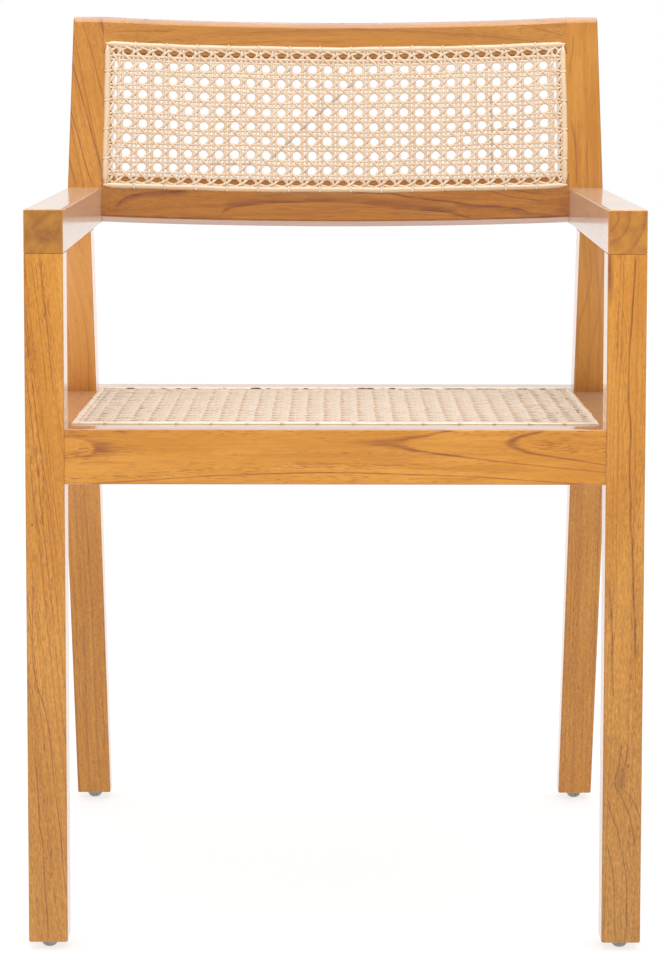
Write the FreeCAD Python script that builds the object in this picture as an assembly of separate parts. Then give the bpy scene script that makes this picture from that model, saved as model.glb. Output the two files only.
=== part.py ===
import FreeCAD, Part
import math
import os

from FreeCAD import Placement, Rotation
from FreeCAD import Vector as V

os.makedirs("parts", exist_ok=True)

# ---------------------------------------------------------------- dimensions
# Millimetres, +Z up. The chair faces -Y. While it is being laid out, Y counts
# backwards from the front face of the front legs and Z from the floor; at the
# end everything is moved so that the origin is on the floor, in the middle of
# the chair's footprint.
WIDTH = 550.0  # over the legs and arms
LEG_W = 35.0  # legs and arms, across
HALF = WIDTH / 2
INNER = HALF - LEG_W  # inner faces of legs and arms
MID = HALF - LEG_W / 2

FOOT_Z = 4.0  # underside of the legs
GLIDE_H = 7.0  # glide showing under each leg
GLIDE_D = 16.0
GLIDE_FLAT_D = 8.0
GLIDE_NAIL_D = 3.0
GLIDE_NAIL_L = 18.0

ARM_Z = 665.0  # top of the arm at its front end
ARM_Z_REAR = 658.0  # top of the arm where it meets the back
ARM_UNDER = 625.5  # underside of the arm at its front end
ARM_UNDER_REAR = 622.0  # underside where it meets the back

FRONT_LEG_D = 38.0  # front leg, front to back, at the seat and above
FRONT_LEG_D_FOOT = 32.0
REAR_FOOT_Y = 530.0  # front face of the rear leg at the floor
REAR_TOP_Y = 308.5  # front face of the rear leg under the arm
REAR_D_FOOT = 28.0  # rear leg, front to back, measured level
REAR_D_TOP = 43.0

SEAT_Z = 470.0  # front edge of the seat
SEAT_DROP = 0.0328  # fall of the seat per millimetre towards the back
FRONT_RAIL_Y0 = 1.5  # front rail set back from the legs
FRONT_RAIL_Y1 = 54.0
FRONT_RAIL_H = 50.0
SIDE_RAIL_H = 45.0
SIDE_RAIL_IN = 221.0  # inner face of the side rails
REAR_RAIL_Y0 = 366.0
SEAT_BACK_Y = 449.0  # rear edge of the seat frame
REAR_RAIL_H = 32.0

RECLINE = 18.0  # lean of the back, degrees
BACK_Y = 450.0  # front face of the back at arm height
BACK_ZERO_Z = 665.0
STILE_IN = 230.0  # inner face of the stiles between the two rails
STILE_TAPER = 3.0  # the stiles narrow by this much towards the top
BACK_BOTTOM = -37.5  # along the lean, from arm height
BACK_TOP = 177.8
BOTTOM_RAIL_TOP = 7.0
TOP_RAIL_BOTTOM = 136.5
RAIL_T = 25.0
BOW = 20.0  # backward bow of the rails at the middle

CANE_T = 1.6
BINDER_W = 5.5
BACK_HOLE_X = 235.8  # lines of holes that the cane is tied through
BACK_HOLE_LOW = -4.2
BACK_HOLE_HIGH = 146.5
BACK_COLUMNS = 30
BACK_ROWS = 10
SEAT_HOLE_X = 235.0
SEAT_HOLE_Y0 = 45.0
SEAT_HOLE_Y1 = 383.0
SEAT_COLUMNS = 30
SEAT_ROWS = 22
HOLE_D = 4.0
HOLE_DEPTH = 10.0

DOWEL_D = 8.0
DOWEL_ROOM = 1.0  # spare depth at each end of a dowel hole

EDGE_R = 2.0
FINE_R = 1.2
FOOT_R = 1.8
TOP_R = 8.0  # top edges of the back, front and rear

# ------------------------------------------------------------------- helpers
EX, EY, EZ = V(1, 0, 0), V(0, 1, 0), V(0, 0, 1)


def prism(points, x0, x1):
    """Side outline (y, z) given a thickness across the chair."""
    ring = [V(x0, y, z) for y, z in points]
    return Part.Face(Part.makePolygon(ring + ring[:1])).extrude(V(x1 - x0, 0, 0))


def box(x0, x1, y0, y1, z0, z1):
    return Part.makeBox(x1 - x0, y1 - y0, z1 - z0, V(x0, y0, z0))


def rounded(shape, radius, chosen):
    edges = [e for e in shape.Edges if chosen(e)]
    return shape.makeFillet(radius, edges)


def spans(edge, axis):
    """True for a straight edge that runs along the axis."""
    a, b = edge.Vertexes[0].Point, edge.Vertexes[-1].Point
    d = b.sub(a)
    return d.Length > 1e-6 and abs(d.dot(axis)) > 0.9 * d.Length


def middle(edge):
    return edge.valueAt((edge.FirstParameter + edge.LastParameter) / 2)


def mirrored(shape):
    return shape.mirror(V(0, 0, 0), EX)


def cylinder(start, direction, length, diameter):
    return Part.makeCylinder(diameter / 2, length, start, direction)


def one(shape):
    """The only solid in a shape."""
    solids = shape.Solids
    assert len(solids) == 1, len(solids)
    return solids[0]


def seat_z(y):
    return SEAT_Z - SEAT_DROP * y


def back_face_y(z):
    return BACK_Y + (z - BACK_ZERO_Z) * math.tan(math.radians(RECLINE))


def arm_under(y):
    return ARM_UNDER - (ARM_UNDER - ARM_UNDER_REAR) * y / back_face_y(ARM_UNDER_REAR)


def back_place(shape):
    """From the back's own frame (x, t behind its face, s up its face)."""
    shape = shape.copy()
    shape.Placement = Placement(
        V(0, BACK_Y, BACK_ZERO_Z), Rotation(EX, -RECLINE)
    ).multiply(shape.Placement)
    return shape


BOW_R = (INNER**2 + BOW**2) / (2 * BOW)
BOW_C = BOW - BOW_R


def bow_t(x, radius=BOW_R):
    return BOW_C + math.sqrt(radius**2 - x**2)


def bowed(x0, x1, r0, r1, s0, s1):
    """A piece bent to the back's curve, between two radii."""
    xm = (x0 + x1) / 2

    def at(x, r):
        return V(x, bow_t(x, r), s0)

    wire = Part.Wire(
        [
            Part.Arc(at(x0, r0), at(xm, r0), at(x1, r0)).toShape(),
            Part.makeLine(at(x1, r0), at(x1, r1)),
            Part.Arc(at(x1, r1), at(xm, r1), at(x0, r1)).toShape(),
            Part.makeLine(at(x0, r1), at(x0, r0)),
        ]
    )
    return Part.Face(wire).extrude(V(0, 0, s1 - s0))


nodes = {}

# -------------------------------------------------------------------- dowels
# Each joint's dowels, as (start, direction, length); the same list drills the
# two pieces that the dowels join.


def dowel_solids(rows):
    return [cylinder(p, d, n, DOWEL_D) for p, d, n in rows]


def dowel_holes(rows):
    holes = []
    for p, d, n in rows:
        holes.append(
            cylinder(p.sub(d * DOWEL_ROOM), d, n + 2 * DOWEL_ROOM, DOWEL_D)
        )
    return Part.makeCompound(holes)


front_leg_dowels = [
    (V(MID, y, ARM_UNDER - 24), EZ, 48.0) for y in (11.0, 27.0)
]
rear_leg_dowels = [
    (V(MID, y, ARM_UNDER - 24), EZ, 48.0) for y in (325.0, 341.0)
]
arm_back_dowels = [(V(MID, 414.0, z), EY, 46.0) for z in (632.0, 648.0)]
front_rail_dowels = [
    (V(INNER - 24, 11.0, z), EX, 46.0) for z in (433.0, 456.0)
]
side_rail_dowels = [(V(MID, 19.0, z), EY, 46.0) for z in (437.0, 456.0)]
rear_rail_dowels = [
    (V(SIDE_RAIL_IN - 24, y, seat_z(y) - 18.5), EX, 46.0) for y in (392.0, 428.0)
]
back_rail_dowels = [
    (V(INNER - 24, 14.5, s), EX, 36.0) for s in (-27.0, -14.0, 142.5, 162.0)
]

# ---------------------------------------------------------------- front legs
leg = prism(
    [
        (0, FOOT_Z),
        (FRONT_LEG_D_FOOT, FOOT_Z),
        (FRONT_LEG_D, SEAT_Z - FRONT_RAIL_H),
        (FRONT_LEG_D, arm_under(FRONT_LEG_D)),
        (0, ARM_UNDER),
    ],
    INNER,
    HALF,
)
leg = rounded(leg, EDGE_R, lambda e: spans(e, EZ))
leg = rounded(
    leg, FOOT_R, lambda e: abs(middle(e).z - FOOT_Z) < 1e-6 and len(e.Vertexes) == 2
)
glide_spots = [V(MID, FRONT_LEG_D_FOOT / 2, 0)]
leg = leg.cut(dowel_holes(front_leg_dowels + front_rail_dowels + side_rail_dowels))
leg = leg.cut(
    cylinder(glide_spots[0] + EZ * FOOT_Z, EZ, GLIDE_NAIL_L + 1, GLIDE_NAIL_D)
)
nodes["right_front_leg"] = leg = one(leg)
nodes["left_front_leg"] = mirrored(leg)

# ----------------------------------------------------------------- rear legs


def rear_front_y(z):
    return REAR_FOOT_Y + (REAR_TOP_Y - REAR_FOOT_Y) * z / ARM_UNDER


def rear_back_y(z):
    depth = REAR_D_FOOT + (REAR_D_TOP - REAR_D_FOOT) * z / ARM_UNDER
    return rear_front_y(z) + depth


def under_arm(side_y):
    """Where a slanted side of the rear leg meets the underside of the arm."""
    z = ARM_UNDER
    for _ in range(30):
        z = arm_under(side_y(z))
    return side_y(z), z


rear_outline = [
    (rear_front_y(FOOT_Z), FOOT_Z),
    (rear_back_y(FOOT_Z), FOOT_Z),
    under_arm(rear_back_y),
    under_arm(rear_front_y),
]
rear_block = prism(rear_outline, INNER, HALF)
rear = rounded(rear_block, EDGE_R, lambda e: spans(e, V(0, -0.36, 0.93)))
rear = rounded(
    rear, FOOT_R, lambda e: abs(middle(e).z - FOOT_Z) < 1e-6 and len(e.Vertexes) == 2
)

# ---------------------------------------------------------------- side rails
# A side rail runs from the front leg to the rear edge of the seat and crosses
# the rear leg in a half lap: the leg keeps its outer half, the rail its inner.
side_outline = [
    (FRONT_LEG_D, seat_z(FRONT_LEG_D)),
    (SEAT_BACK_Y, seat_z(SEAT_BACK_Y)),
    (SEAT_BACK_Y, seat_z(SEAT_BACK_Y) - SIDE_RAIL_H),
    (FRONT_LEG_D, seat_z(FRONT_LEG_D) - SIDE_RAIL_H),
]
side_block = prism(side_outline, SIDE_RAIL_IN, HALF)
side = side_block.cut(
    box(SIDE_RAIL_IN - 1, INNER, FRONT_LEG_D - 1, FRONT_RAIL_Y1, 380, 500)
)
side = rounded(
    side,
    EDGE_R,
    lambda e: spans(e, EY)
    and middle(e).x > HALF - 1e-6
    or spans(e, EX)
    and middle(e).y > SEAT_BACK_Y - 1e-6,
)
outer_half = box(MID, HALF + 5, 0, 600, 0, 700)
inner_half = box(SIDE_RAIL_IN - 5, MID, 0, 600, 0, 700)
side = side.cut(rear_block.common(outer_half))
rear = rear.cut(side_block.common(inner_half))

rear_foot_y = (rear_front_y(FOOT_Z) + rear_back_y(FOOT_Z)) / 2
glide_spots.append(V(MID, rear_foot_y, 0))
rear = rear.cut(dowel_holes(rear_leg_dowels))
rear = rear.cut(
    cylinder(glide_spots[1] + EZ * FOOT_Z, EZ, GLIDE_NAIL_L + 1, GLIDE_NAIL_D)
)
nodes["right_rear_leg"] = rear = one(rear)
nodes["left_rear_leg"] = mirrored(rear)


# Holes along a line, evenly spaced, drilled down into the seat rails.
def steps(a, b, count):
    return [a + (b - a) * i / (count - 1) for i in range(count)]


seat_xs = steps(-SEAT_HOLE_X, SEAT_HOLE_X, SEAT_COLUMNS + 1)
seat_ys = steps(SEAT_HOLE_Y0, SEAT_HOLE_Y1, SEAT_ROWS + 1)


def seat_holes(spots):
    return Part.makeCompound(
        [
            cylinder(V(x, y, seat_z(y) - HOLE_DEPTH), EZ, HOLE_DEPTH + 2, HOLE_D)
            for x, y in spots
        ]
    )


side = side.cut(dowel_holes(side_rail_dowels + rear_rail_dowels))
side = side.cut(
    seat_holes(
        [
            (SEAT_HOLE_X, y)
            for y in seat_ys
            if FRONT_RAIL_Y1 + HOLE_D < y < SEAT_HOLE_Y1 + 1
        ]
    )
)
nodes["seat_right_rail"] = side = one(side)
nodes["seat_left_rail"] = mirrored(side)

# ------------------------------------------------- front and rear seat rails
front = prism(
    [
        (FRONT_RAIL_Y0, SEAT_Z - FRONT_RAIL_H),
        (FRONT_RAIL_Y1, SEAT_Z - FRONT_RAIL_H),
        (FRONT_RAIL_Y1, seat_z(FRONT_RAIL_Y1)),
        (FRONT_RAIL_Y0, seat_z(FRONT_RAIL_Y0)),
    ],
    -INNER,
    INNER,
)
front = rounded(
    front, EDGE_R, lambda e: spans(e, EX) and middle(e).y < FRONT_RAIL_Y0 + 1e-6
)
front = front.cut(
    dowel_holes(
        front_rail_dowels
        + [(V(-p.x, p.y, p.z), d * -1, n) for p, d, n in front_rail_dowels]
    )
)
front = front.cut(seat_holes([(x, SEAT_HOLE_Y0) for x in seat_xs]))
nodes["seat_front_rail"] = one(front)

back_rail = prism(
    [
        (REAR_RAIL_Y0, seat_z(REAR_RAIL_Y0)),
        (SEAT_BACK_Y, seat_z(SEAT_BACK_Y)),
        (SEAT_BACK_Y, seat_z(SEAT_BACK_Y) - REAR_RAIL_H),
        (REAR_RAIL_Y0, seat_z(REAR_RAIL_Y0) - REAR_RAIL_H),
    ],
    -SIDE_RAIL_IN,
    SIDE_RAIL_IN,
)
back_rail = rounded(
    back_rail, EDGE_R, lambda e: spans(e, EX) and middle(e).y > SEAT_BACK_Y - 1e-6
)
back_rail = back_rail.cut(
    dowel_holes(
        rear_rail_dowels
        + [(V(-p.x, p.y, p.z), d * -1, n) for p, d, n in rear_rail_dowels]
    )
)
back_rail = back_rail.cut(
    seat_holes([(x, SEAT_HOLE_Y1) for x in seat_xs if abs(x) < SIDE_RAIL_IN - HOLE_D])
)
nodes["seat_rear_rail"] = one(back_rail)

# --------------------------------------------------------------------- stiles
# A stile is wider between the rails, where it carries the cane, and is cut
# back at both ends so that the rails run to the inner faces of the arms.
stile_t = bow_t(STILE_IN, BOW_R + RAIL_T)
low = -46.0  # runs down past the underside of the arm
xm = (STILE_IN + INNER) / 2
stile = Part.Face(
    Part.Wire(
        [
            Part.makeLine(V(HALF, 0, low), V(INNER, 0, low)),
            Part.Arc(
                V(INNER, 0, low),
                V(xm, bow_t(xm), low),
                V(STILE_IN, bow_t(STILE_IN), low),
            ).toShape(),
            Part.makeLine(V(STILE_IN, bow_t(STILE_IN), low), V(STILE_IN, stile_t, low)),
            Part.makeLine(V(STILE_IN, stile_t, low), V(HALF, stile_t, low)),
            Part.makeLine(V(HALF, stile_t, low), V(HALF, 0, low)),
        ]
    )
).extrude(V(0, 0, BACK_TOP - low))
wedge = [
    V(HALF, -10, low),
    V(HALF + 5, -10, low),
    V(HALF + 5, -10, BACK_TOP),
    V(HALF - STILE_TAPER, -10, BACK_TOP),
]
stile = one(
    stile.cut(Part.Face(Part.makePolygon(wedge + wedge[:1])).extrude(V(0, 60, 0)))
)
stile = stile.cut(box(STILE_IN - 1, INNER, -10, 60, low - 1, BOTTOM_RAIL_TOP))
stile = stile.cut(box(STILE_IN - 1, INNER, -10, 60, TOP_RAIL_BOTTOM, BACK_TOP + 1))
stile = one(stile)
OUTSIDE = HALF - STILE_TAPER - 0.5
stile = rounded(
    stile,
    TOP_R,
    lambda e: abs(middle(e).z - BACK_TOP) < 1e-6 and spans(e, EX),
)
stile = rounded(
    stile,
    EDGE_R,
    lambda e: middle(e).x > OUTSIDE and (spans(e, EZ) or middle(e).z > BACK_TOP - TOP_R - 3),
)
stile = stile.cut(dowel_holes(back_rail_dowels))
back_ss = steps(BACK_HOLE_LOW, BACK_HOLE_HIGH, BACK_ROWS + 1)
back_xs = steps(-BACK_HOLE_X, BACK_HOLE_X, BACK_COLUMNS + 1)
hole_tops = []
for s in back_ss:
    t = bow_t(BACK_HOLE_X)
    if BOTTOM_RAIL_TOP + HOLE_D < s < TOP_RAIL_BOTTOM - HOLE_D:
        hole_tops.append(
            cylinder(V(BACK_HOLE_X, t - 2, s), EY, HOLE_DEPTH + 2, HOLE_D)
        )
stile = stile.cut(Part.makeCompound(hole_tops))
stile = back_place(stile)
stile = stile.cut(
    prism([(0, 400), (700, 400), (700, arm_under(700)), (0, arm_under(0))], 0, 400)
)
stile = stile.cut(dowel_holes(arm_back_dowels))
nodes["right_back_stile"] = stile = one(stile)
nodes["left_back_stile"] = mirrored(stile)

# ----------------------------------------------------------------- back rails


def back_rail_solid(s0, s1, hole_s, top_r, bottom_r):
    rail = bowed(-INNER, INNER, BOW_R, BOW_R + RAIL_T, s0, s1)

    def along(e):
        return e.Curve.TypeId == "Part::GeomCircle"

    top = [e for e in rail.Edges if along(e) and abs(middle(e).z - s1) < 1e-6]
    rail = rail.makeFillet(top_r, top)
    bottom = [e for e in rail.Edges if along(e) and abs(middle(e).z - s0) < 1e-6]
    rail = rail.makeFillet(bottom_r, bottom)
    rows = [(p, d, n) for p, d, n in back_rail_dowels if s0 < p.z < s1]
    rail = rail.cut(
        dowel_holes(rows + [(V(-p.x, p.y, p.z), d * -1, n) for p, d, n in rows])
    )
    holes = []
    for x in back_xs:
        holes.append(cylinder(V(x, bow_t(x) - 2, hole_s), EY, HOLE_DEPTH + 2, HOLE_D))
    rail = rail.cut(Part.makeCompound(holes))
    return one(back_place(rail))


nodes["back_top_rail"] = back_rail_solid(
    TOP_RAIL_BOTTOM, BACK_TOP, BACK_HOLE_HIGH, TOP_R, EDGE_R
)
nodes["back_bottom_rail"] = back_rail_solid(
    BACK_BOTTOM, BOTTOM_RAIL_TOP, BACK_HOLE_LOW, EDGE_R, EDGE_R
)

# ----------------------------------------------------------------------- arms
arm = prism(
    [
        (0, ARM_UNDER),
        (0, ARM_Z),
        (back_face_y(ARM_Z_REAR), ARM_Z_REAR),
        (back_face_y(ARM_UNDER_REAR), ARM_UNDER_REAR),
    ],
    INNER,
    HALF,
)
arm = rounded(
    arm,
    EDGE_R,
    lambda e: spans(e, EY)
    and middle(e).z > ARM_Z_REAR
    or middle(e).y < 1e-6
    and (spans(e, EZ) or middle(e).z > ARM_Z - 1e-6),
)
arm = rounded(
    arm,
    FINE_R,
    lambda e: spans(e, EY)
    and middle(e).z < ARM_UNDER
    and abs(abs(middle(e).x - MID) - LEG_W / 2) < 1e-6
    and e.Length > 100,
)
arm = arm.cut(dowel_holes(front_leg_dowels + rear_leg_dowels + arm_back_dowels))
nodes["right_arm"] = arm = one(arm)
nodes["left_arm"] = mirrored(arm)

# ------------------------------------------------------- cane and its binders
half_b = BINDER_W / 2
skin = BOW_R - CANE_T
nodes["back_cane_panel"] = one(
    back_place(
        bowed(
            -BACK_HOLE_X + half_b,
            BACK_HOLE_X - half_b,
            skin,
            BOW_R,
            BACK_HOLE_LOW + half_b,
            BACK_HOLE_HIGH - half_b,
        )
    )
)
back_strips = [
    bowed(
        -BACK_HOLE_X - half_b,
        BACK_HOLE_X + half_b,
        skin,
        BOW_R,
        s - half_b,
        s + half_b,
    )
    for s in (BACK_HOLE_LOW, BACK_HOLE_HIGH)
]
upright = bowed(
    BACK_HOLE_X - half_b,
    BACK_HOLE_X + half_b,
    skin,
    BOW_R,
    BACK_HOLE_LOW + half_b,
    BACK_HOLE_HIGH - half_b,
)
back_strips += [upright, mirrored(upright)]
nodes["back_binder"] = Part.makeCompound([one(back_place(s)) for s in back_strips])


def seat_plate(x0, x1, y0, y1):
    return prism(
        [
            (y0, seat_z(y0)),
            (y1, seat_z(y1)),
            (y1, seat_z(y1) + CANE_T),
            (y0, seat_z(y0) + CANE_T),
        ],
        x0,
        x1,
    )


nodes["seat_cane_panel"] = seat_plate(
    -SEAT_HOLE_X + half_b,
    SEAT_HOLE_X - half_b,
    SEAT_HOLE_Y0 + half_b,
    SEAT_HOLE_Y1 - half_b,
)
nodes["seat_binder"] = Part.makeCompound(
    [
        seat_plate(-SEAT_HOLE_X - half_b, SEAT_HOLE_X + half_b, y - half_b, y + half_b)
        for y in (SEAT_HOLE_Y0, SEAT_HOLE_Y1)
    ]
    + [
        seat_plate(
            x - half_b, x + half_b, SEAT_HOLE_Y0 + half_b, SEAT_HOLE_Y1 - half_b
        )
        for x in (-SEAT_HOLE_X, SEAT_HOLE_X)
    ]
)

# ---------------------------------------------------------------------- glides
profile = Part.Face(
    Part.Wire(
        [
            Part.makeLine(V(0, 0, 0), V(GLIDE_FLAT_D / 2, 0, 0)),
            Part.Arc(
                V(GLIDE_FLAT_D / 2, 0, 0),
                V(GLIDE_D / 2 - 1.3, 0, 2.3),
                V(GLIDE_D / 2, 0, GLIDE_H - 1.0),
            ).toShape(),
            Part.makeLine(V(GLIDE_D / 2, 0, GLIDE_H - 1.0), V(GLIDE_D / 2, 0, GLIDE_H)),
            Part.makeLine(V(GLIDE_D / 2, 0, GLIDE_H), V(GLIDE_NAIL_D / 2, 0, GLIDE_H)),
            Part.makeLine(
                V(GLIDE_NAIL_D / 2, 0, GLIDE_H),
                V(GLIDE_NAIL_D / 2, 0, GLIDE_H + GLIDE_NAIL_L - 3),
            ),
            Part.makeLine(
                V(GLIDE_NAIL_D / 2, 0, GLIDE_H + GLIDE_NAIL_L - 3),
                V(0, 0, GLIDE_H + GLIDE_NAIL_L),
            ),
            Part.makeLine(V(0, 0, GLIDE_H + GLIDE_NAIL_L), V(0, 0, 0)),
        ]
    )
)
glide = one(profile.revolve(V(0, 0, 0), EZ, 360))
glides = []
for spot in glide_spots:
    g = glide.copy()
    g.translate(spot + EZ * (FOOT_Z - GLIDE_H))
    glides += [g, mirrored(g)]
nodes["leg_glides"] = Part.makeCompound(glides)

# ---------------------------------------------------------------- dowel groups


def both_sides(solids):
    return Part.makeCompound(solids + [mirrored(s) for s in solids])


nodes["front_leg_dowels"] = both_sides(dowel_solids(front_leg_dowels))
nodes["rear_leg_dowels"] = both_sides(dowel_solids(rear_leg_dowels))
nodes["arm_back_dowels"] = both_sides(dowel_solids(arm_back_dowels))
nodes["front_rail_dowels"] = both_sides(dowel_solids(front_rail_dowels))
nodes["side_rail_dowels"] = both_sides(dowel_solids(side_rail_dowels))
nodes["rear_rail_dowels"] = both_sides(dowel_solids(rear_rail_dowels))
nodes["back_rail_dowels"] = both_sides(
    [one(back_place(s)) for s in dowel_solids(back_rail_dowels)]
)

# -------------------------------------------------- origin and the STEP files
tight = [s.optimalBoundingBox(False, False) for s in nodes.values()]
deep = max(b.YMax for b in tight)
near = min(b.YMin for b in tight)
shift = V(0, -(deep + near) / 2, GLIDE_H - FOOT_Z)
for name, shape in nodes.items():
    shape = shape.copy()
    shape.translate(shift)
    for solid in shape.Solids:
        if not solid.isValid() or solid.Volume <= 0:
            print("check", name, solid.isValid(), solid.Volume)
    shape.exportStep("parts/%s.step" % name)
    b = shape.optimalBoundingBox(False, False)
    print(
        "%-18s solids %3d  x %.1f..%.1f y %.1f..%.1f z %.1f..%.1f"
        % (name, len(shape.Solids), b.XMin, b.XMax, b.YMin, b.YMax, b.ZMin, b.ZMax)
    )
print("shift in y %.3f, in z %.3f" % (shift.y, shift.z))
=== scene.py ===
import math
import random

import bpy
import numpy as np
from mathutils import Matrix, Vector


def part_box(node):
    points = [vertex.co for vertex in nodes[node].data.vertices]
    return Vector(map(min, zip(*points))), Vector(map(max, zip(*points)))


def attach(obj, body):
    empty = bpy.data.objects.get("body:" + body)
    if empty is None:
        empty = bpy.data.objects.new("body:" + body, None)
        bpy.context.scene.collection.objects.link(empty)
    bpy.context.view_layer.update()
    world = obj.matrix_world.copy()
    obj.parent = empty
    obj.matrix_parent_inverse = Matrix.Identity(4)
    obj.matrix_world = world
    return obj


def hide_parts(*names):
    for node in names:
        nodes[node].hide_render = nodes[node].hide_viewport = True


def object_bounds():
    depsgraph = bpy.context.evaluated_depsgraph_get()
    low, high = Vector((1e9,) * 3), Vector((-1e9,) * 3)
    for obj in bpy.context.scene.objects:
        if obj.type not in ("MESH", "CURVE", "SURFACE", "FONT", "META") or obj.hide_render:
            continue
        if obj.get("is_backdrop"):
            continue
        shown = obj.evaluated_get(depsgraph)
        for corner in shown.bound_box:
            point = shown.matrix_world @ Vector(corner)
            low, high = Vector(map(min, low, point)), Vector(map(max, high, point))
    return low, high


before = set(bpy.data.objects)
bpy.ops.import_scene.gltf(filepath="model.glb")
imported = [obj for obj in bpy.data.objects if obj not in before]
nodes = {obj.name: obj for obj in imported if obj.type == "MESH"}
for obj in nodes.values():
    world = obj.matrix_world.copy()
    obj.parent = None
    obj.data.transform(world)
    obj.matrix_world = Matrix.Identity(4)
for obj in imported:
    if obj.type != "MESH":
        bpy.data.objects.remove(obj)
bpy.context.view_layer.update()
scene = bpy.context.scene

# ---------------------------------------------------------------- dimensions
# Millimetres, as in the CAD layout: Y counts backwards from the front face of
# the front legs and the legs end at FOOT_Z, so SHIFT and LIFT move it into the
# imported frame, which stands on the glides.
FOOT_Z = 4.0
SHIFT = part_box("right_front_leg")[0].y * 1000
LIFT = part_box("right_front_leg")[0].z * 1000 - FOOT_Z
HALF, INNER = 275.0, 240.0
MID = (HALF + INNER) / 2
SEAT_Z, SEAT_DROP = 470.0, 0.0328
RECLINE = math.radians(18.0)
BACK_Y, BACK_ZERO_Z = 450.0, 665.0
BOW = 20.0
BOW_R = (INNER**2 + BOW**2) / (2 * BOW)
BOW_C = BOW - BOW_R
BACK_HOLE_X, BACK_HOLE_LOW, BACK_HOLE_HIGH = 235.8, -4.2, 146.5
SEAT_HOLE_X, SEAT_HOLE_Y0, SEAT_HOLE_Y1 = 235.0, 45.0, 383.0
REAR_FOOT_Y, REAR_TOP_Y, ARM_UNDER = 530.0, 308.5, 625.5

SIN, COS = math.sin(RECLINE), math.cos(RECLINE)


# ------------------------------------------------------------- material graphs
class Graph:
    """A material with a Principled shader, and short names for its nodes."""

    def __init__(self, name):
        self.mat = bpy.data.materials.new(name)
        self.mat.use_nodes = True
        self.nt = self.mat.node_tree
        self.nt.nodes.clear()
        out = self.add("ShaderNodeOutputMaterial")
        self.bsdf = self.add("ShaderNodeBsdfPrincipled")
        self.nt.links.new(self.bsdf.outputs[0], out.inputs[0])

    def add(self, kind, **props):
        n = self.nt.nodes.new(kind)
        for k, v in props.items():
            setattr(n, k, v)
        return n

    def put(self, socket, value):
        if isinstance(value, bpy.types.NodeSocket):
            self.nt.links.new(value, socket)
        else:
            if socket.type == "RGBA" and len(value) == 3:
                value = (*value, 1.0)
            socket.default_value = value

    def set(self, **sockets):
        for k, v in sockets.items():
            self.put(self.bsdf.inputs[k.replace("_", " ")], v)

    def math(self, op, *values, clamp=False):
        n = self.add("ShaderNodeMath", operation=op, use_clamp=clamp)
        for s, v in zip(n.inputs, values):
            self.put(s, v)
        return n.outputs[0]

    def vec(self, op, *values):
        n = self.add("ShaderNodeVectorMath", operation=op)
        for s, v in zip(n.inputs, values):
            self.put(s, v)
        return n.outputs["Value" if op in ("DOT_PRODUCT", "LENGTH") else 0]

    def xyz(self, x, y, z):
        n = self.add("ShaderNodeCombineXYZ")
        for s, v in zip(n.inputs, (x, y, z)):
            self.put(s, v)
        return n.outputs[0]

    def parts(self, vector):
        n = self.add("ShaderNodeSeparateXYZ")
        self.put(n.inputs[0], vector)
        return n.outputs[0], n.outputs[1], n.outputs[2]

    def noise(self, vector, scale=1.0, detail=2.0, rough=0.5, bend=0.0, colour=False):
        n = self.add("ShaderNodeTexNoise")
        self.put(n.inputs["Vector"], vector)
        n.inputs["Scale"].default_value = scale
        n.inputs["Detail"].default_value = detail
        n.inputs["Roughness"].default_value = rough
        n.inputs["Distortion"].default_value = bend
        return n.outputs[1 if colour else 0]

    def white(self, value):
        n = self.add("ShaderNodeTexWhiteNoise", noise_dimensions="1D")
        self.put(n.inputs["W"], value)
        return n.outputs[0]

    def step(self, value, a, b, low=0.0, high=1.0):
        n = self.add("ShaderNodeMapRange", interpolation_type="SMOOTHSTEP")
        self.put(n.inputs["Value"], value)
        for k, v in zip(("From Min", "From Max", "To Min", "To Max"), (a, b, low, high)):
            n.inputs[k].default_value = v
        return n.outputs[0]

    def span(self, value, a, b, low, high):
        n = self.add("ShaderNodeMapRange", interpolation_type="LINEAR")
        self.put(n.inputs["Value"], value)
        for k, v in zip(("From Min", "From Max", "To Min", "To Max"), (a, b, low, high)):
            n.inputs[k].default_value = v
        return n.outputs[0]

    def mix(self, fac, a, b, blend="MIX"):
        n = self.add("ShaderNodeMix", data_type="RGBA", blend_type=blend)
        self.put(n.inputs[0], fac)
        self.put(n.inputs[6], a)
        self.put(n.inputs[7], b)
        return n.outputs[2]

    def ramp(self, fac, stops):
        n = self.add("ShaderNodeValToRGB")
        self.put(n.inputs[0], fac)
        e = n.color_ramp.elements
        while len(e) > 1:
            e.remove(e[-1])
        e[0].position, e[0].color = stops[0][0], (*stops[0][1], 1)
        for at, colour in stops[1:]:
            e.new(at).color = (*colour, 1)
        return n.outputs[0]

    def course(self, value, points):
        """A smooth line through (x, y) points that all lie between 0 and 1."""
        n = self.add("ShaderNodeFloatCurve")
        line = n.mapping.curves[0].points
        while len(line) < len(points):
            line.new(0.5, 0.5)
        for knot, spot in zip(line, points):
            knot.location = spot
        n.mapping.update()
        self.put(n.inputs["Value"], value)
        return n.outputs[0]

    def attribute(self, name, output="Vector"):
        return self.add("ShaderNodeAttribute", attribute_name=name).outputs[output]

    def bump(self, height, strength, distance):
        n = self.add("ShaderNodeBump")
        n.inputs["Strength"].default_value = strength
        n.inputs["Distance"].default_value = distance
        self.put(n.inputs["Height"], height)
        return n.outputs[0]


def srgb(r, g, b):
    """A colour given in 0 to 255 steps, as the linear numbers a shader takes."""
    out = []
    for c in (r, g, b):
        c /= 255
        out.append(c / 12.92 if c <= 0.04045 else ((c + 0.055) / 1.055) ** 2.4)
    return tuple(out)


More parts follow.
